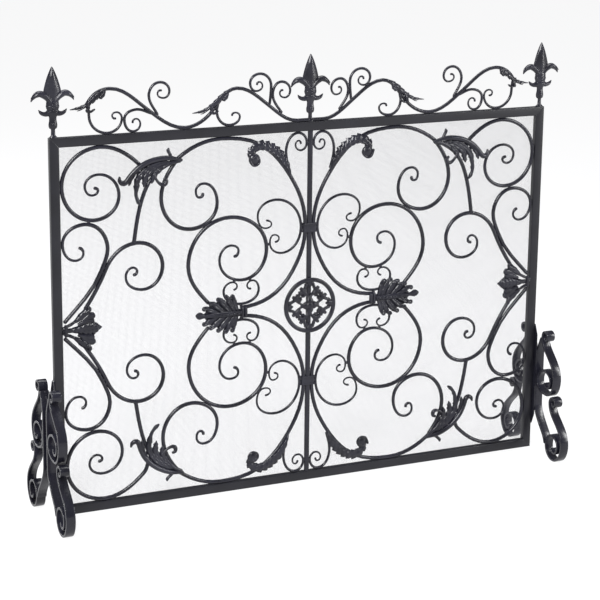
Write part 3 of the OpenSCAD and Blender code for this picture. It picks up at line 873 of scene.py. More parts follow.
@dataclass
class Middle:
    """The straight middle bar, its two collars and the cast medallion."""

    shop: Shop
    bar_r: float = 5.0             # half width of the middle bar
    bar_half_depth: float = 4.0
    collar_half: tuple[float, float, float] = (15.8, 6.3, 9.5)
    collar_w: float = 162.0        # height of a collar over the middle, as drawn
    ring_r: float = 53.7           # of the medallion's rim, on the middle of its bar
    ring_half: float = 4.4
    rim_half_depth: float = 3.6
    arm_back: float = 3.2          # how far the tracery's flat back lies behind its middle

    def middle_bar(self) -> None:
        """The round-edged straight bar."""
        lay = self.shop.layout
        low, high = lay.mid_z - lay.open_h, lay.mid_z + lay.open_h
        sides = 16
        c, s = rounded_ring(turn_steps(sides) + math.pi / sides, 0.6, 0.6)
        rings = [np.stack([self.bar_r * c, lay.bar_y + self.bar_half_depth * s,
                           np.full(sides, z)], 1) for z in (low, high)]
        self.shop.fit(Shape().lofted(np.array(rings)), "bar_middle", Slot.BAR, ["centre_bar"])

    def collars(self, panel_scale: Sequence[float]) -> None:
        """Two folded bands with a raised rib at either edge.

        Args:
            panel_scale: Stretch of the drawn scrollwork.
        """
        lay = self.shop.layout
        half_x, half_y, half_z = self.collar_half
        profile = [(-half_z, -0.9), (-half_z + 0.8, 0.0), (-half_z + 3.6, 0.0),
                   (-half_z + 4.6, -1.0), (half_z - 4.6, -1.0), (half_z - 3.6, 0.0),
                   (half_z - 0.8, 0.0), (half_z, -0.9)]
        sides = 36
        c, s = rounded_ring(turn_steps(sides), 0.28, 0.34)
        for down, word in ((False, "upper"), (True, "lower")):
            z = lay.mid_z + (-1 if down else 1) * self.collar_w * panel_scale[1]
            rings = [np.stack([(half_x + out) * c, lay.bar_y + (half_y + out) * s,
                               np.full(sides, z + dz)], 1) for dz, out in profile]
            self.shop.fit(Shape().lofted(np.array(rings)), f"collar_{word}", Slot.CAST,
                          [f"{word}_collar"])

    def medallion(self) -> None:
        """The ring, and four leafy arms with curled petals around a boss."""
        lay = self.shop.layout
        y = lay.front_y - self.arm_back
        c, s = rounded_ring(turn_steps(14), 0.75, 0.75)
        out = self.ring_r + self.ring_half * c
        rings = [np.stack([math.cos(a) * out, y + self.rim_half_depth * s, math.sin(a) * out], 1)
                 for a in turn_steps(120)]
        rings.append(rings[0])
        to_mid = Matrix.Translation((0, 0, lay.mid_z))
        ring = Shape().lofted(np.array(rings)[:, ::-1], False, False)
        self.shop.fit(ring.moved(to_mid), "medallion_rim", Slot.CAST, ["medallion_ring"])
        tracery = Shape()
        for turn in turn_steps(4):
            tracery.join(self.arm(y).moved(to_mid @ Matrix.Rotation(turn, 4, "Y")))
        tracery.join(Shape().blob((0, y - 0.4, 0), (7.5, 4.4, 7.5), 24, 2.4).moved(to_mid))
        self.shop.fit(tracery, "medallion_leaves", Slot.CAST, ["medallion_tracery"])

    def arm(self, y: float) -> Shape:
        """One arm of the tracery, pointing outward along x.

        Args:
            y: Depth of its middle.

        Returns:
            The arm.
        """
        shape = Shape()
        back = y + self.arm_back
        shape.rod([(2, 0), (10, 0), (19, 0)], 12, ((0, 6.4), (0.45, 8.4), (1, 3.2)), y, 0.55)
        for up in (1, -1):
            for rib, width in (
                    (((14, 1), (21, 5), (27, 12), (32, 19)),
                     ((0, 2.2), (0.35, 3.2), (0.68, 7.6), (0.88, 6.2), (1, 1.4))),
                    (((25, 10), (27, 17), (25, 25)),
                     ((0, 2.8), (0.5, 6.2), (0.85, 4.8), (1, 1.2))),
                    (((23, 8), (20, 14), (20.5, 19)),
                     ((0, 2.2), (0.5, 3.6), (0.85, 2.8), (1, 1.0))),
                    (((28, 14), (34, 17.5), (38, 21)),
                     ((0, 3.4), (0.5, 4.6), (0.85, 3.2), (1, 1.0))),
                    (((29, 14), (37, 10.5), (46, 6.5)),
                     ((0, 4.0), (0.4, 3.4), (0.8, 4.4), (1, 3.6)))):
                bent = tuple((u, w * up) for u, w in rib)
                shape.leaf(Blade(bent, width, dome=4.2, rim=2.0, teeth=3, tooth=0.26, vein=1.2,
                                 lean=0.4, groove=0.9, along=40, across=13), back)
        shape.leaf(Blade(((37, 0), (43, 0), (50, 0)),
                         ((0, 1.2), (0.4, 5.4), (0.7, 8.6), (1, 9.4)), dome=4.6, rim=2.2,
                         teeth=2, tooth=0.2, vein=1.2, groove=1.0, along=32), back)
        return shape


# ---------------------------------------------------------------------------------------
# Scrollwork of the panel
# ---------------------------------------------------------------------------------------


@dataclass
class Scrollwork:
    """The bent bars of the panel, drawn for one quarter and repeated in mirror image."""

    shop: Shop
    drawn: tuple[float, float] = (530.2, 356.5)   # half the opening, less half a bar, as drawn
    bar: float = 8.0
    light: float = 5.6

    # Each run is a row of knots: outward, up, and heading in degrees
    CORNER = ((366, 313, 45), (450, 356.5, 0), (530.2, 283, -90), (465, 214, -180),
              (413, 260, -270), (455, 303, -360), (483, 281, -450), (468, 263, -540),
              (456, 272, -630), (463, 277, -710))
    STILE = ((529, 17, 134), (451.5, 113.5, 112), (438, 155, 90), (485, 207.5, 0),
             (530.6, 171, -90), (504, 137.5, -180), (488, 151, -270), (496, 162, -345))
    SIDE = ((486, 40, 125), (442, 116, 114), (376, 162, 180), (323, 112, 270), (365, 67, 360),
            (401, 95, 450), (386, 113, 540), (377, 105, 630), (384, 98, 720))
    STRUT = ((383, 163, 98), (370, 233, 105), (345, 288, 128), (302, 318, 152))
    ARCH = ((152, 9, 180), (75, 32, 145), (27, 92, 117), (9.5, 155, 90), (9.5, 169, 90),
            (14, 206, 77), (45, 273, 57), (112, 340, 28), (198, 356.5, 0), (291, 322, -38))
    ARCH_SCROLL = ((295, 316, -50), (325, 247, -90), (262, 180, -180), (205, 229, -270),
                   (235, 269.5, -360), (251, 255, -450), (243, 242, -540), (236, 249, -640))
    HEART = ((46, 283, 74), (54, 320, 90), (27, 357.7, 180), (7.8, 337, 270), (21, 322, 360),
             (33, 334, 450), (26, 342, 540), (21, 336, 630))
    RING = ((225, 26, 47), (268, 104, 90), (178, 197, 180), (96, 126, 270), (150, 66, 360),
            (200, 110, 450), (175, 139, 540), (158, 127, 630), (167, 116, 720))
    COLLAR = ((96, 184, 190), (85, 176, 270), (98, 168, 360), (116, 194, 450), (76, 225, 540),
              (18.6, 164, 630), (62, 114, 720), (88.5, 137, 810), (79, 153, 900),
              (68, 145, 990), (76, 138, 1080))
    PALMETTE = ((168, 47, 170), (161, 54, 90), (172, 63, 0), (191, 45, -90), (152, 16.5, -180),
                (113, 44, -270), (127, 63, -360), (139, 53, -450), (131, 46, -540))

    @property
    def scale(self) -> tuple[float, float]:
        """Stretch of the drawing to this frame's opening.

        Returns:
            The stretch outward and up.
        """
        lay = self.shop.layout
        return ((lay.open_w - self.bar / 2) / self.drawn[0],
                (lay.open_h - self.bar / 2) / self.drawn[1])

    def quarters(self, name: str, bar: Bar, welds: Sequence[Sequence[float]] = (),
                 lower: Optional[Bar] = None) -> None:
        """Repeats a bar in the four quarters, one piece on each side.

        Args:
            name: Name of the pieces, before their side, and of the nodes, after it.
            bar: The bar in the upper quarter.
            welds: Where it is welded to its neighbours.
            lower: The bar in the lower quarter, if it differs.
        """
        lay = self.shop.layout
        beads = weld_spots(welds, self.scale, lay.bar_y)
        for side in Side:
            shape = Shape()
            for down in (False, True):
                one = (lower if down and lower else bar).build(self.scale, lay.bar_y)
                one.join(beads)
                shape.join(one.moved(mirror_x(side) @ upright(lay, down)))
            self.shop.fit(shape, f"{name}_{side.word}", Slot.BAR, [f"{side.word}_{name}"])

    def build(self) -> None:
        """Builds every bent bar of the panel."""
        whole = (0.0, 0.0)
        both = (0.4, 0.4)
        self.quarters("corner_scrolls", Bar(self.CORNER), [(476, 211)],
                      Bar(((356, 288, 66),) + self.CORNER))
        self.quarters("stile_scrolls", Bar(self.STILE))
        self.quarters("side_scrolls", Bar(self.SIDE), [(449, 109), (445, 118)])
        self.quarters("arch_bars", Bar(self.ARCH, tapers=whole))
        self.quarters("arch_scrolls", Bar(self.ARCH_SCROLL), [(227.5, 186)])
        self.quarters("heart_scrolls", Bar(self.HEART, self.light), [(6, 337)])
        self.quarters("ring_scrolls", Bar(self.RING))
        self.quarters("collar_scrolls", Bar(self.COLLAR, self.light, both),
                      [(111, 171), (92.5, 134.5), (17, 163)])
        self.quarters("palmette_scrolls",
                      Bar(self.PALMETTE, self.light, both),
                      [(132.5, 65.5), (167.5, 65.5), (152, 13)])
        lay = self.shop.layout
        strut = Bar(self.STRUT, tapers=whole).build(self.scale, lay.bar_y)
        strut.join(weld_spots([(384, 166)], self.scale, lay.bar_y))
        shape = Shape()
        for side in Side:
            for down in (False, True):
                shape.join(strut.moved(mirror_x(side) @ upright(lay, down)))
        self.shop.fit(shape, "leaf_struts", Slot.BAR, ["struts"])


# ---------------------------------------------------------------------------------------
# Cast leaves of the panel
# ---------------------------------------------------------------------------------------


def lobe_width(width: float, neck: float = 0.45) -> tuple:
    """Half widths of a round-tipped lobe, from its narrow neck to its tip.

    Args:
        width: Its full width where it is widest.
        neck: The neck's share of that.

    Returns:
        Pairs of position along the lobe and half width.
    """
    half = width / 2
    return ((0.0, half * neck), (0.3, half * 0.72), (0.6, half), (0.82, half * 0.98),
            (0.92, half * 0.78), (0.975, half * 0.45), (1.0, half * 0.12))


@dataclass
class PanelLeaves:
    """Palmettes, stile leaves, and the two sizes of acanthus."""

    shop: Shop
    scale: tuple[float, float]
    lower_turn: float = 21.0       # how much further the lower big leaves lean inwards
    palmette_root: float = 146.0
    roll_radius: float = 2.9       # of the rolled ends of its lobes, on the bar's middle
    roll_deg: float = 285.0        # how far each end is rolled over
    acanthus_root: tuple[float, float] = (288.0, 320.0)

    def build(self) -> None:
        """Builds every leaf of the panel."""
        lay = self.shop.layout
        turned = (self.acanthus_root[0] * self.scale[0], self.acanthus_root[1] * self.scale[1])
        for side in Side:
            mirror = mirror_x(side)
            middle = mirror @ upright(lay, False)
            self.shop.fit(self.palmette().moved(middle), f"palmette_leaf_{side.word}", Slot.CAST,
                          [f"{side.word}_palmette"], CAST_EDGE_DEG)
            self.shop.fit(self.stile_leaf().moved(middle), f"stile_leaf_{side.word}", Slot.CAST,
                          [f"{side.word}_stile_leaf"], CAST_EDGE_DEG)
            big = self.acanthus()
            pair = big.moved(mirror @ upright(lay, False))
            pair.join(big.moved(mirror @ upright(lay, True, -self.lower_turn, turned)))
            self.shop.fit(pair, f"acanthus_{side.word}", Slot.CAST,
                          [f"{side.word}_acanthus_leaves"], CAST_EDGE_DEG)
        small = Shape()
        for side in Side:
            for down in (False, True):
                small.join(self.curled().moved(mirror_x(side) @ upright(lay, down)))
        self.shop.fit(small, "curled_acanthus", Slot.CAST, ["curled_leaves"], CAST_EDGE_DEG)

    def stretched(self, points: Sequence[Sequence[float]]) -> tuple:
        """Drawn points, stretched to this panel."""
        return tuple((u * self.scale[0], w * self.scale[1]) for u, w in points)

    def palmette(self) -> Shape:
        """Oblique lobes along a beaded midrib, behind a two-ribbed ferrule, pointing outward.

        Returns:
            The right-hand leaf, about the middle height of the panel.
        """
        y = self.shop.layout.front_y + 1.5
        root = self.palmette_root * self.scale[0]
        shape = Shape()
        under = ((0, 7), (0.1, 9), (0.24, 23), (0.45, 30), (0.7, 23), (0.92, 11), (1, 5))
        shape.leaf(Blade(((root + 4, 0), (root + 50, 0), (root + 88, 0)), under, dome=1.6,
                         teeth=7, tooth=0.14, vein=1.0, lean=0.5, along=72), y)
        lobes = (((15, 3), (22, 21), (25.5, 38.5), 13), ((22, 4), (32, 22), (41, 40), 14.5),
                 ((33, 4), (46, 21), (58.5, 36), 15.5), ((45, 3.5), (61, 17), (76, 29), 15),
                 ((58, 3), (75, 10.5), (91, 19.5), 14))
        for order, (start, bend, end, width) in enumerate(lobes):
            for up in (1, -1):
                rib = tuple((root + u, w * up) for u, w in (start, bend, end))
                half = width / 2
                shape.leaf(Blade(rib, ((0, half * 0.55), (0.3, half * 0.9), (0.55, half),
                                       (0.78, half * 0.62), (0.93, half * 0.3), (1, 0.6)),
                                 dome=3.4 + 0.2 * order, groove=1.9, teeth=3, tooth=0.2,
                                 vein=1.2, lean=0.5, along=46), y - 0.6 * order)
                shape.join(self.rolled_tip(rib, up, y - 3.6 - 0.6 * order))
        tip = ((root + 8, 0), (root + 60, 0), (root + 88, 0.6), (root + 108, 3.5))
        width = ((0, 4), (0.35, 6.5), (0.62, 5.6), (0.8, 3.6), (0.9, 7.6), (0.96, 6.4), (1, 1.6))
        shape.leaf(Blade(tip, width, dome=4.8, groove=1.6, curl=1.0), y - 3.4)
        for k in range(7):
            shape.blob((root + 16 + 8 * k, y - 9.2, 0), (3.4, 1.5, 2.5 - 0.2 * k))
        for x, half in ((root - 2, 8.5), (root + 5, 9.5)):
            shape.join(self.ferrule(x, half, y))
        return shape

    def rolled_tip(self, rib: Sequence[Sequence[float]], up: int, y: float) -> Shape:
        """The rolled-over end of a lobe, which turns towards the tip of the leaf.

        Args:
            rib: The lobe's midrib.
            up: 1 for a lobe above the leaf's middle, -1 below.
            y: Depth of its middle.

        Returns:
            The roll.
        """
        before, end = np.array(rib[-2], float), np.array(rib[-1], float)
        ahead = (end - before) / np.linalg.norm(end - before)
        aside = np.array([ahead[1], -ahead[0]]) * up
        start = end - 3.0 * ahead
        angle = np.radians(np.linspace(0, self.roll_deg, 18))[:, None]
        roll = start + self.roll_radius * (aside * (1 - np.cos(angle)) + ahead * np.sin(angle))
        path = even(np.vstack([start - 6.0 * ahead, roll]), 24)
        radius = np.interp(np.linspace(0, 1, 24), [0, 0.3, 1], [2.7, 2.3, 1.7])
        return Shape().swept(path, radius, y, 1.3)

    @staticmethod
    def ferrule(x: float, half: float, y: float) -> Shape:
        """A rounded band across the root of a leaf.

        Args:
            x: Its middle, outward.
            half: Half its height.
            y: Depth of the leaf's back.

        Returns:
            The band.
        """
        path = np.array([(x, -half), (x, -half * 0.3), (x, half * 0.3), (x, half)])
        return Shape().swept(even(path, 12), np.full(12, 3.6), y - 2.0, 1.5)

    def stile_leaf(self) -> Shape:
        """A three-part leaf on the stile, pointing inward.

        Returns:
            The right-hand leaf, about the middle height of the panel.
        """
        y = self.shop.layout.front_y + 1.5
        edge = self.shop.layout.open_w
        shape = Shape()
        middle = ((edge + 1, 0), (edge - 28, 0), (edge - 56, 0.5), (edge - 80, 1.0))
        width = ((0, 4.5), (0.2, 5.0), (0.36, 9), (0.55, 16), (0.7, 14.5), (0.85, 8.0),
                 (0.96, 3.2), (1, 1.0))
        shape.leaf(Blade(middle, width, dome=4.4, teeth=9, tooth=0.10, vein=2.4, lean=0.55,
                         groove=1.6, along=72), y)
        for up in (1, -1):
            arm = ((edge + 1, 4 * up), (edge - 22, 15 * up), (edge - 42, 29 * up),
                   (edge - 55, 37 * up))
            shape.leaf(Blade(arm, ((0, 3.4), (0.4, 3.2), (0.62, 7.5), (0.85, 9.0), (0.95, 6.5),
                                   (1, 2.0)), dome=4.6, groove=1.2, teeth=5, tooth=0.1,
                             vein=1.6, lean=0.3, along=48), y)
            lobe = ((edge - 38, 17 * up), (edge - 52, 24 * up), (edge - 66, 27 * up))
            shape.leaf(Blade(lobe, lobe_width(15), dome=4.2, groove=1.0), y - 0.6)
            inner = ((edge - 30, 10 * up), (edge - 46, 16 * up), (edge - 64, 17 * up))
            shape.leaf(Blade(inner, lobe_width(13), dome=4.0, groove=1.0), y - 1.0)
            hook = [(edge - 48, 33 * up), (edge - 55, 39 * up), (edge - 52, 44 * up)]
            shape.rod(hook, 10, ((0, 4.2), (1, 3.0)), y - 3.5, 0.9)
        shape.join(self.ferrule(edge - 6, 10, y))
        return shape

    def acanthus(self) -> Shape:
        """The big leaf: a horned midrib, a fluted body and three free lobes.

        Returns:
            The leaf of the upper right quarter.
        """
        y = self.shop.layout.front_y + 1.0
        shape = Shape()
        for points, count, radii, rise, depth in (
                # the horned midrib
                ([(284, 321), (312, 327), (346, 324), (374, 312), (393, 296), (400, 286),
                  (408, 283), (414, 289), (414, 296)], 44,
                 ((0, 3.2), (0.25, 5.2), (0.6, 5.4), (0.78, 4.4), (0.86, 5.6), (0.94, 4.6),
                  (1, 2.2)), 4.2, 0.95),
                # the tail below the body
                ([(376, 278), (380, 262), (377, 248), (371, 238)], 18,
                 ((0, 4.4), (0.6, 3.4), (0.85, 4.4), (1, 2.0)), 3.0, 0.8),
                # the crook that curls back under it
                ([(342, 296), (336, 284), (328, 276), (320, 275), (316, 282), (320, 287)], 24,
                 ((0, 2.4), (0.4, 3.0), (0.75, 4.6), (1, 3.0)), 3.4, 0.9),
                # the spike above the root
                ([(306, 325), (308, 333), (312, 341), (311, 346)], 14,
                 ((0, 4.6), (0.5, 3.2), (0.85, 3.6), (1, 1.6)), 3.6, 0.9),
                # the root's lower fork
                ([(288, 320), (306, 316), (322, 308)], 14, ((0, 4.6), (1, 3.0)), 2.6, 0.9)):
            shape.rod(self.stretched(points), count, radii, y - rise, depth)
        for points, left, right, teeth in (
                ([(312, 321), (344, 314), (368, 298), (379, 276), (378, 252)],
                 ((0, 3), (0.3, 7.5), (0.6, 8.0), (0.8, 4.5), (0.93, 3.2), (1, 1.0)),
                 ((0, 3), (0.3, 8.5), (0.6, 8.5), (0.8, 4.2), (0.93, 3.2), (1, 1.0)), 8),
                ([(306, 319), (334, 311), (356, 296), (363, 272)],
                 ((0, 3), (0.35, 7.0), (0.7, 8.0), (0.92, 4.5), (1, 1.0)),
                 ((0, 3), (0.35, 9.0), (0.7, 9.0), (0.92, 4.5), (1, 1.0)), 6),
                ([(300, 318), (324, 309), (341, 294), (346, 278)],
                 ((0, 3), (0.35, 6.5), (0.7, 6.5), (0.92, 3.6), (1, 1.0)),
                 ((0, 3), (0.35, 7.5), (0.7, 7.5), (0.92, 3.6), (1, 1.0)), 5)):
            shape.leaf(Blade(self.stretched(points), left, right, dome=4.6, teeth=teeth,
                             tooth=0.32, vein=2.2, lean=0.7, groove=1.9, along=72), y)
        far = self.stretched([(346, 322), (372, 309), (388, 293), (394, 277)])
        shape.leaf(Blade(far, ((0, 2), (0.4, 5.0), (0.75, 5.5), (0.93, 3.4), (1, 1.0)), dome=3.8,
                         teeth=5, tooth=0.3, vein=1.6, lean=0.6, groove=1.4, along=56), y - 0.5)
        return shape

    def curled(self) -> Shape:
        """The small leaf over the arch: a toothed crest that rolls into a ball.

        Returns:
            The leaf of the upper right quarter.
        """
        y = self.shop.layout.front_y + 1.0
        rib = self.stretched([(44, 274), (54, 292), (70, 312), (88, 326), (106, 333),
                              (121, 331), (131, 321), (132, 311)])
        outer = ((0, 2.0), (0.07, 6.5), (0.18, 13.5), (0.32, 16.0), (0.5, 16.5), (0.72, 15.0),
                 (0.86, 12.5), (0.96, 8), (1, 3.0))
        inner = ((0, 2.0), (0.2, 5.0), (0.55, 6.0), (0.8, 6.5), (0.95, 7), (1, 3.0))
        shape = Shape().leaf(Blade(rib, outer, inner, dome=4.6, teeth=11, tooth=0.34, vein=3.0,
                                   lean=0.75, groove=2.1, along=112), y)
        ball = self.stretched([(127, 311)])[0]
        shape.blob((ball[0], y - 4.4, ball[1]), (12.5, 6.2, 12.5), 22)
        roll = trace(((ball[0] + 12.0, ball[1] + 4, 260), (ball[0] + 1, ball[1] - 11.5, 180),
                      (ball[0] - 9.5, ball[1] - 2, 90), (ball[0] - 1, ball[1] + 6.5, 0),
                      (ball[0] + 4.5, ball[1] + 1, -90), (ball[0], ball[1] - 3, -180)))
        roll = even(roll, 40)
        shape.swept(roll, np.linspace(2.6, 1.6, 40), y - 9.0, 0.8)
        return shape


# ---------------------------------------------------------------------------------------
# Crest
# ---------------------------------------------------------------------------------------


@dataclass
class Crest:
    """The waves, scrolls and leaves that stand on the top rail."""

    shop: Shop
    drawn_x: float = 543.8         # from the middle to a finial, as drawn
    light: float = 5.6
    wave_bar: float = 7.2

    # Each run is a row of knots: outward, up from the rail, and heading in degrees
    WAVE = ((476, 60, 115), (430, 88, 180), (355, 46, 217), (274, 3.6, 180), (219, 29, 134),
            (163, 75, 180), (95, 39, 217), (30, 3.6, 180), (4.6, 3.6, 180))
    OUTER_HANGING = ((473.5, 56, -95), (472, 38, -90), (435, 2.8, -180), (405, 30, -270),
                     (416, 42, -360), (425, 36, -450), (418, 30, -560))
    LOW = ((345, 36, 18), (373, 45, 0), (400, 27, -90), (382, 2.8, -180), (367, 17, -270),
           (376, 27, -360), (383, 20, -460))
    STANDING = ((332, 34, 60), (349, 70, 90), (326, 95, 180), (306, 77, 270), (318, 64, 360),
                (331, 73, 450), (323, 79, 560))
    INNER_HANGING = ((203.5, 45, -85), (206, 33, -90), (179, 2.8, -180), (156, 19, -270),
                     (166, 27, -360), (173, 22, -460))
    OUTER_SPIRAL = ((91, 41, 97), (88, 76, 90), (113, 101, 0), (134, 83, -90), (120, 67, -180),
                    (107, 77, -270), (114, 85, -360), (119, 80, -460))
    INNER_SPIRAL = ((65, 22, 55), (84.5, 58, 90), (65.5, 83, 180), (46, 65, 270),
                    (57.5, 51, 360), (69, 60, 450), (62.5, 66, 560))

    @property
    def scale(self) -> tuple[float, float]:
        """Stretch of the drawing to this frame's width."""
        return self.shop.layout.finial_x / self.drawn_x, 1.0

    def scrolls(self, drawings: Sequence[tuple], side: Side) -> Shape:
        """Light scrolls on one side.

        Args:
            drawings: The knots of each.
            side: Where they stand.

        Returns:
            The scrolls, in place.
        """
        lay = self.shop.layout
        shape = Shape()
        for knots in drawings:
            shape.join(Bar(knots, self.light).build(self.scale, lay.bar_y))
        return shape.moved(mirror_x(side) @ Matrix.Translation((0, 0, lay.top_z)))

    def build(self) -> None:
        """Builds the whole crest."""
        lay = self.shop.layout
        on_rail = Matrix.Translation((0, 0, lay.top_z))
        standing = Shape()
        for side in Side:
            place = mirror_x(side) @ on_rail
            wave = Bar(self.WAVE, self.wave_bar, (0.0, 0.0)).build(self.scale, lay.bar_y)
            wave.join(weld_spots([(128, 66.5), (402.5, 28), (345, 38), (332, 33), (204, 43),
                                  (92, 38), (66, 21)], self.scale, lay.bar_y, 0.0, 3.0))
            self.shop.fit(wave.moved(place), f"crest_wave_{side.word}", Slot.BAR,
                          [f"{side.word}_crest_wave"])
            for name, node, runs in (
                    ("hanging", "hanging_scrolls", (self.OUTER_HANGING, self.INNER_HANGING)),
                    ("low", "low_scroll", (self.LOW,)),
                    ("spirals", "spirals", (self.OUTER_SPIRAL, self.INNER_SPIRAL))):
                self.shop.fit(self.scrolls(runs, side), f"crest_{name}_{side.word}", Slot.BAR,
                              [f"{side.word}_crest_{node}"])
            standing.join(self.scrolls((self.STANDING,), side))
            self.shop.fit(self.leaves().moved(place), f"crest_leaves_{side.word}", Slot.CAST,
                          [f"{side.word}_crest_leaves"], CAST_EDGE_DEG)
        self.shop.fit(standing, "crest_standing", Slot.BAR, ["crest_standing_scrolls"])

    def leaves(self) -> Shape:
        """The outer and the inner leaf of one side: long blades with a toothed lower edge.

        Returns:
            The right-hand pair, with heights from the top of the rail.
        """
        y = self.shop.layout.front_y + 1.5
        shape = Shape()
        for points, size in (
                ([(511, 52), (494, 54.5), (479, 59), (466, 69), (452, 80), (437, 88)], 1.0),
                ([(259, 31), (239, 34), (222, 41), (206, 53), (193, 64), (177, 74)], 0.95)):
            rib = tuple((u * self.scale[0], h) for u, h in points)
            upper, lower = (
                tuple((t, w * size) for t, w in half) for half in (
                    ((0, 0.6), (0.15, 2.6), (0.45, 4.6), (0.7, 5.6), (0.9, 4.6), (1, 2.5)),
                    ((0, 0.6), (0.15, 3.0), (0.45, 6.0), (0.65, 8.0), (0.85, 7.5), (1, 3.0))))
            shape.leaf(Blade(rib, lower, upper, dome=3.6, teeth=7, tooth=0.32, vein=2.0,
                             lean=-0.5, groove=1.6, along=96), y)
            for start, bend, tip, half in (((0, 6), (-4, -4), (-1, -14), 4.6),
                                           ((0, -11), (-9, -12.5), (-18, -8), 2.8),
                                           ((-39, 28), (-34, 19), (-27, 11), 5.4)):
                lobe = tuple((rib[2][0] + u, rib[2][1] + w) for u, w in (start, bend, tip))
                shape.leaf(Blade(lobe, ((0, 2), (0.35, half), (0.7, half * 0.9), (0.9, half * 0.6),
                                        (1, 1.0)), dome=3.8, teeth=3, tooth=0.2, vein=1.4,
                                 lean=0.5, groove=1.5, along=48), y - 0.8)
            end = rib[1]
            spike = [rib[2], (end[0] - 4, end[1] - 3), (end[0] + 3, end[1] - 5.5)]
            shape.rod(spike, 12, ((0, 3.0), (1, 0.6)), y - 2.2, 0.9, 10)
        return shape


# ---------------------------------------------------------------------------------------
# Finials
# ---------------------------------------------------------------------------------------


@dataclass
class Finials:
    """Three cast fleur-de-lis finials on turned stems."""

    shop: Shop
    y: float = 0.0                 # depth of their middle: they stand centred on the rail
    spear_half_depth: float = 6.2

    def spear(self) -> Shape:
        """The ridged middle leaf.

        Returns:
            The leaf, over the finial's foot.
        """
        outline = ((60, 2.0), (68, 8.5), (78, 15.0), (86, 17.6), (92, 17.0), (104, 13.8),
                   (114, 10.6), (122, 7.4), (129, 4.2), (133, 2.1), (135, 0.6))
        heights = np.linspace(60, 135, 34)
        half = np.interp(heights, *zip(*outline))
        sides = 24
        c, s = rounded_ring(turn_steps(sides), 1.35, 1.35)
        rings = [np.stack([w * c, min(self.spear_half_depth, 0.62 * w + 0.6) * s,
                           np.full(sides, h)], 1) for h, w in zip(heights, half)]
        return Shape().lofted(np.array(rings))

    def petal(self, side: Side) -> Shape:
        """A drooping side petal with a ridge along its back.

        Args:
            side: The side it droops to.

        Returns:
            The petal.
        """
        shape = Shape()
        path = through([(3, 58), (5, 69), (13, 79), (24, 84.5), (33, 82), (39, 76.5),
                        (42, 70.5)], 36)
        t = np.linspace(0, 1, 36)
        half = np.interp(t, [0, 0.25, 0.5, 0.7, 0.88, 1], [5.0, 5.8, 6.6, 5.8, 3.4, 0.8])
        shape.swept(path, half, self.y, np.interp(t, [0, 0.6, 1], [1.25, 1.15, 1.6]), 18, 1.7)
        ridge = path + directions(path)[1] * (half * 0.55)[:, None]
        shape.swept(ridge[3:-3], np.interp(t[3:-3], [0, 0.6, 1], [1.1, 1.3, 0.4]), self.y - 5.2,
                    0.8, 8)
        return shape.moved(mirror_x(side))

    def base_leaf(self, side: Side) -> Shape:
        """A small upturned leaf under the waist.

        Args:
            side: The side it turns to.

        Returns:
            The leaf.
        """
        path = [(3, 49), (11, 46), (19, 46.5), (24, 49.5), (27.5, 54)]
        half = ((0, 5.4), (0.4, 4.8), (0.8, 3.2), (1, 0.8))
        return Shape().rod(path, 20, half, self.y, 1.1, power=1.8).moved(mirror_x(side))

    def one(self) -> Shape:
        """A whole finial that stands at the origin.

        Returns:
            The finial.
        """
        shape = self.spear()
        for side in Side:
            shape.join(self.petal(side))
            shape.join(self.base_leaf(side))
        shape.turned([(0.5, 0), (8.4, 0.05), (8.6, 1.0), (6.2, 2.8), (4.4, 5.0), (4.0, 14),
                      (4.4, 16.8), (7.2, 18.0), (8.4, 20.8), (8.8, 25), (8.2, 29), (7.4, 33),
                      (7.2, 37), (7.6, 40), (9.6, 43), (12.0, 46), (12.8, 48.5), (12.0, 51.5),
                      (11.4, 54), (12.6, 57), (13.2, 60), (12.6, 64), (12.4, 68),
                      (11.8, 71), (8.5, 74), (3.0, 77), (0.5, 77.5)], 32, 0.56)
        for h, r in ((52.5, 2.0), (57.5, 2.6), (63.2, 2.4), (68, 1.8)):
            shape.blob((0, -6.6, h), (r * 1.25, 1.6, r))
        for h in (50.6, 60.4):
            ring = Shape().turned([(12.2, h - 1.3), (13.4, h - 0.5), (13.4, h + 0.5),
                                   (12.2, h + 1.3)], 32, 0.58)
            shape.join(ring)
        shape.blob((0, -5.0, 24), (4.0, 2.0, 6.0))
        return shape

    def build(self) -> None:
        """Builds the three finials."""
        lay = self.shop.layout
        for word, x in (("left", -lay.finial_x), ("centre", 0.0), ("right", lay.finial_x)):
            self.shop.fit(self.one().moved(Matrix.Translation((x, 0, lay.top_z))),
                          f"fleur_finial_{word}", Slot.CAST, [f"{word}_finial"], 50)


# ---------------------------------------------------------------------------------------
# Feet
# ---------------------------------------------------------------------------------------


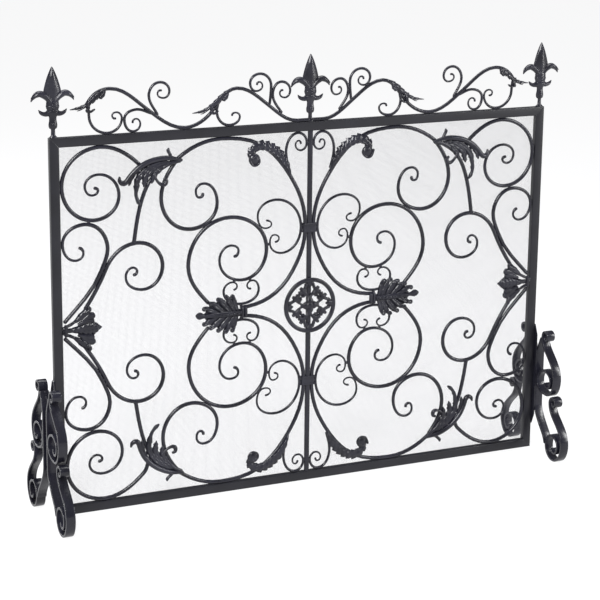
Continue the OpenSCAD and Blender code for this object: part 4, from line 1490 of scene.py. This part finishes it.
@dataclass
class Feet:
    """Scrolled feet of flat bar, each on a pointed plate bolted to a stile."""

    shop: Shop
    bar_t: float = 5.0
    drop: float = 0.3              # the curls' undersides are ground flat this much
    edge_r: float = 0.9
    plate_w: float = 30.0
    plate_point: float = 22.0      # length of the plate's tapered ends
    plate_low: float = 62.0
    plate_high: float = 288.0
    bolt_heights: tuple[float, float] = (112.0, 212.0)
    weld_spots: tuple = ((15.0, 165), (80, 140), (61.5, 30))    # outward from the panel, up

    # Each run is a row of knots: outward from the panel, up, and heading in degrees
    UPRIGHT = ((27, 262, -105), (12.5, 222, -90), (12.5, 112, -90), (34, 68, -52),
               (58.8, 30, -80))
    UPPER = ((40, 266, -80), (44, 260, 0), (53, 269, 90), (42.5, 278.5, 180), (32, 267, 270),
             (45, 238, 315), (84.5, 180, 270), (56, 140.5, 180), (17.4, 165, 90), (46, 192, 0),
             (71, 172, -90), (58, 156, -180), (50, 166, -280))
    LOWER = ((81, 128, -80), (85, 122, 0), (94, 131, 90), (83, 140, 180), (71.5, 128, 270),
             (88, 96, 318), (124.5, 42, 270), (93, 2.5, 180), (63.8, 30, 90), (86, 56, 0),
             (109, 37, -90), (97, 19, -180), (88, 28, -280))

    def flat_bar(self, knots: tuple) -> Shape:
        """Sweeps a flat bar with eased edges along a run in the foot's plane.

        Args:
            knots: Outward from the panel, up, and heading.

        Returns:
            The bar, on the right-hand foot, running to the back.
        """
        path = trace(knots, lift=-self.drop)
        length = float(np.linalg.norm(np.diff(path, axis=0), axis=1).sum())
        path = even(path, max(20, int(length / 2.6)))
        normal = directions(path)[1]
        x0, x1 = self.shop.layout.foot_x
        half_w = (x1 - x0) / 2
        ring = eased_section(-half_w, half_w, self.bar_t / 2, self.edge_r, 4)
        rings = []
        for k, (p, n) in enumerate(zip(path, normal)):
            ease = 0.86 if k in (0, len(path) - 1) else 1.0
            rings.append(np.stack([(x0 + x1) / 2 + ring[:, 0] * (0.5 + ease / 2),
                                   p[0] + n[0] * ring[:, 1] * ease,
                                   p[1] + n[1] * ring[:, 1] * ease], 1))
        points = np.array(rings)
        points[:, :, 2] = np.maximum(points[:, :, 2], 0.0)
        return Shape().lofted(points)

    def front_and_back(self, shape: Shape, side: Side) -> Shape:
        """Puts a right-hand rear shape on both ends of one side's foot.

        Args:
            shape: The shape, on the right-hand foot, running to the back.
            side: The side of the screen.

        Returns:
            Both copies.
        """
        both = Shape()
        for toward in (1.0, -1.0):
            both.join(shape.moved(mirror_x(side) @ Matrix.Diagonal((1.0, toward, 1.0, 1.0))))
        return both

    def plate(self) -> Shape:
        """The pointed mounting plate with eased edges.

        Returns:
            The right-hand plate.
        """
        lay = self.shop.layout
        w, point = self.plate_w / 2, self.plate_point
        low, high = self.plate_low, self.plate_high
        outline = np.array([(-w * 0.4, low), (w * 0.4, low), (w, low + point),
                            (w, high - point), (w * 0.4, high), (-w * 0.4, high),
                            (-w, high - point), (-w, low + point)])
        middle = np.array([0, (low + high) / 2])
        rings = []
        for x, ease in ((lay.frame_half_w, 0.0), (lay.foot_x[0] - 0.5, 0.0),
                        (lay.foot_x[0], 0.5)):
            size = (np.abs(outline - middle) - ease) * np.sign(outline - middle) + middle
            rings.append(np.stack([np.full(8, x), size[:, 0], size[:, 1]], 1))
        return Shape().lofted(np.array(rings))

    def bolts(self) -> Shape:
        """Hexagon heads with a chamfer and a washer, on the right-hand plate.

        Returns:
            Both heads.
        """
        shape = Shape()
        x0 = self.shop.layout.foot_x[0]
        washer = ((6.4, 0), (6.6, 0.2), (6.6, 0.9), (6.3, 1.1))
        head = ((5.77, 1.0), (5.77, 4.3))
        crown = ((4.9, 4.2), (4.6, 4.9), (0.4, 5.1))
        for z in self.bolt_heights:
            for sides, profile in ((32, washer), (6, head), (24, crown)):
                angle = turn_steps(sides)
                rings = [np.stack([np.full(sides, x0 + h), r * np.cos(angle),
                                   z + r * np.sin(angle)], 1) for r, h in profile]
                shape.lofted(np.array(rings))
        return shape

    def build(self) -> None:
        """Builds both feet."""
        bolts = Shape()
        for side in Side:
            bars = self.front_and_back(self.flat_bar(self.UPRIGHT), side)
            self.shop.fit(bars, f"foot_bars_{side.word}", Slot.BAR, [f"{side.word}_foot_bars"])
            curls = self.flat_bar(self.UPPER).join(self.flat_bar(self.LOWER))
            middle = sum(self.shop.layout.foot_x) / 2
            for v, z in self.weld_spots:
                for along in (-5.5, 0.0, 5.5):
                    curls.blob((middle + along, v, z), (3.4, 2.4, 2.6))
            self.shop.fit(self.front_and_back(curls, side), f"foot_scrolls_{side.word}",
                          Slot.BAR, [f"{side.word}_foot_scrolls"])
            self.shop.fit(self.plate().moved(mirror_x(side)), f"foot_plate_{side.word}",
                          Slot.BAR, [f"{side.word}_foot_plate"])
            bolts.join(self.bolts().moved(mirror_x(side)))
        self.shop.fit(bolts, "bolt_heads", Slot.BOLT, ["foot_bolts"])


# ---------------------------------------------------------------------------------------
# Studio
# ---------------------------------------------------------------------------------------


@dataclass
class Studio:
    """Pale floor, soft lights, and the camera."""

    azimuth_deg: float = -25.25
    elevation_deg: float = 14.55
    roll_deg: float = 0.63
    target: tuple[float, float, float] = (-17.9, 0.0, 397.6)
    distance: float = 3955.0
    lens_mm: float = 115.77
    sensor_mm: float = 36.0
    room_strength: float = 0.25
    floor_colour: str = "#6a6a6c"
    floor_glow: float = 0.89       # lit from below, as a light table, so that it stays white
    floor_half: float = 30.0       # in metres
    aim: tuple[float, float, float] = (0, 0, 0.4)    # where the lights point, in metres

    # Name, place and size in metres, and watts
    LIGHTS = (("key", (-2.4, -3.0, 3.4), (0.9, 2.4), 330),
              ("strip_right", (3.2, -2.4, 1.6), (0.5, 2.4), 110),
              ("overhead", (0.2, 0.4, 3.2), (2.6, 1.2), 70),
              ("rim", (-1.6, 3.0, 1.8), (0.6, 2.2), 60))

    def floor(self) -> None:
        """A plain pale floor."""
        half = self.floor_half
        mesh = bpy.data.meshes.new("floor")
        mesh.from_pydata([(-half, -half, 0), (half, -half, 0), (half, half, 0),
                          (-half, half, 0)], [], [(0, 1, 2, 3)])
        material = bpy.data.materials.new("matt_white_floor")
        material.use_nodes = True
        tree = material.node_tree
        tree.nodes.clear()
        shader = add_node(tree, "ShaderNodeBsdfPrincipled",
                          {"Base Color": linear(self.floor_colour), "Roughness": 0.9,
                           "Specular IOR Level": 0.1,
                           "Emission Color": linear("#ffffff"),
                           "Emission Strength": self.floor_glow})
        add_node(tree, "ShaderNodeOutputMaterial", None, {"Surface": shader.outputs["BSDF"]})
        mesh.materials.append(material)
        floor = bpy.data.objects.new("floor", mesh)
        bpy.context.scene.collection.objects.link(floor)

    def light(self, name: str, place: Sequence[float], size: Sequence[float],
              watts: float) -> None:
        """A rectangular soft light that faces the screen.

        Args:
            name: Name of the light.
            place: Where it stands, in metres.
            size: Its width and height, in metres.
            watts: Its power.
        """
        lamp = bpy.data.lights.new(name, "AREA")
        lamp.energy = watts
        lamp.shape = "RECTANGLE"
        lamp.size, lamp.size_y = size
        thing = bpy.data.objects.new(name, lamp)
        thing.location = place
        toward = Vector(self.aim) - Vector(place)
        thing.rotation_euler = toward.to_track_quat("-Z", "Y").to_euler()
        bpy.context.scene.collection.objects.link(thing)

    def camera(self) -> None:
        """The camera, low and to the left of the screen's front."""
        az, el = math.radians(self.azimuth_deg), math.radians(self.elevation_deg)
        back = Vector((math.sin(az) * math.cos(el), -math.cos(az) * math.cos(el), math.sin(el)))
        level = back.cross(Vector((0, 0, 1))) * -1
        level.normalize()
        rise = back.cross(level)
        roll = math.radians(self.roll_deg)
        right = math.cos(roll) * level + math.sin(roll) * rise
        up = back.cross(right)
        lens = bpy.data.cameras.new("camera")
        lens.lens = self.lens_mm
        lens.sensor_width = self.sensor_mm
        lens.clip_end = 100
        camera = bpy.data.objects.new("camera", lens)
        place = Vector(self.target) * MM + back * self.distance * MM
        turn = Matrix((right, up, back)).transposed().to_4x4()
        camera.matrix_world = Matrix.Translation(place) @ turn
        bpy.context.scene.collection.objects.link(camera)
        bpy.context.scene.camera = camera

    def build(self) -> None:
        """Sets up the studio."""
        scene = bpy.context.scene
        scene.view_settings.view_transform = "Standard"
        world = bpy.data.worlds.new("studio")
        world.use_nodes = True
        tree = world.node_tree
        tree.nodes.clear()
        seen = add_node(tree, "ShaderNodeLightPath").outputs["Is Camera Ray"]
        room = add_node(tree, "ShaderNodeBackground",
                        {"Color": linear("#f2f4fa"), "Strength": self.room_strength})
        sweep = add_node(tree, "ShaderNodeBackground",
                         {"Color": linear("#ffffff"), "Strength": 1.0})
        mix = add_node(tree, "ShaderNodeMixShader", None, {"Fac": seen})
        tree.links.new(room.outputs["Background"], mix.inputs[1])
        tree.links.new(sweep.outputs["Background"], mix.inputs[2])
        add_node(tree, "ShaderNodeOutputWorld", None, {"Surface": mix.outputs["Shader"]})
        scene.world = world
        self.floor()
        for light in self.LIGHTS:
            self.light(*light)
        self.camera()


def main() -> None:
    """Builds every sub-assembly in order."""
    logging.basicConfig(level=logging.INFO, format="%(message)s")
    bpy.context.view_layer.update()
    shop = Shop(Layout.read(), Finishes())
    FrameTubes(shop).build()
    WireCloth(shop).build()
    scrollwork = Scrollwork(shop)
    scrollwork.build()
    middle = Middle(shop)
    middle.middle_bar()
    middle.collars(scrollwork.scale)
    middle.medallion()
    PanelLeaves(shop, scrollwork.scale).build()
    Crest(shop).build()
    Finials(shop).build()
    Feet(shop).build()
    Studio().build()


if __name__ == "__main__":
    main()
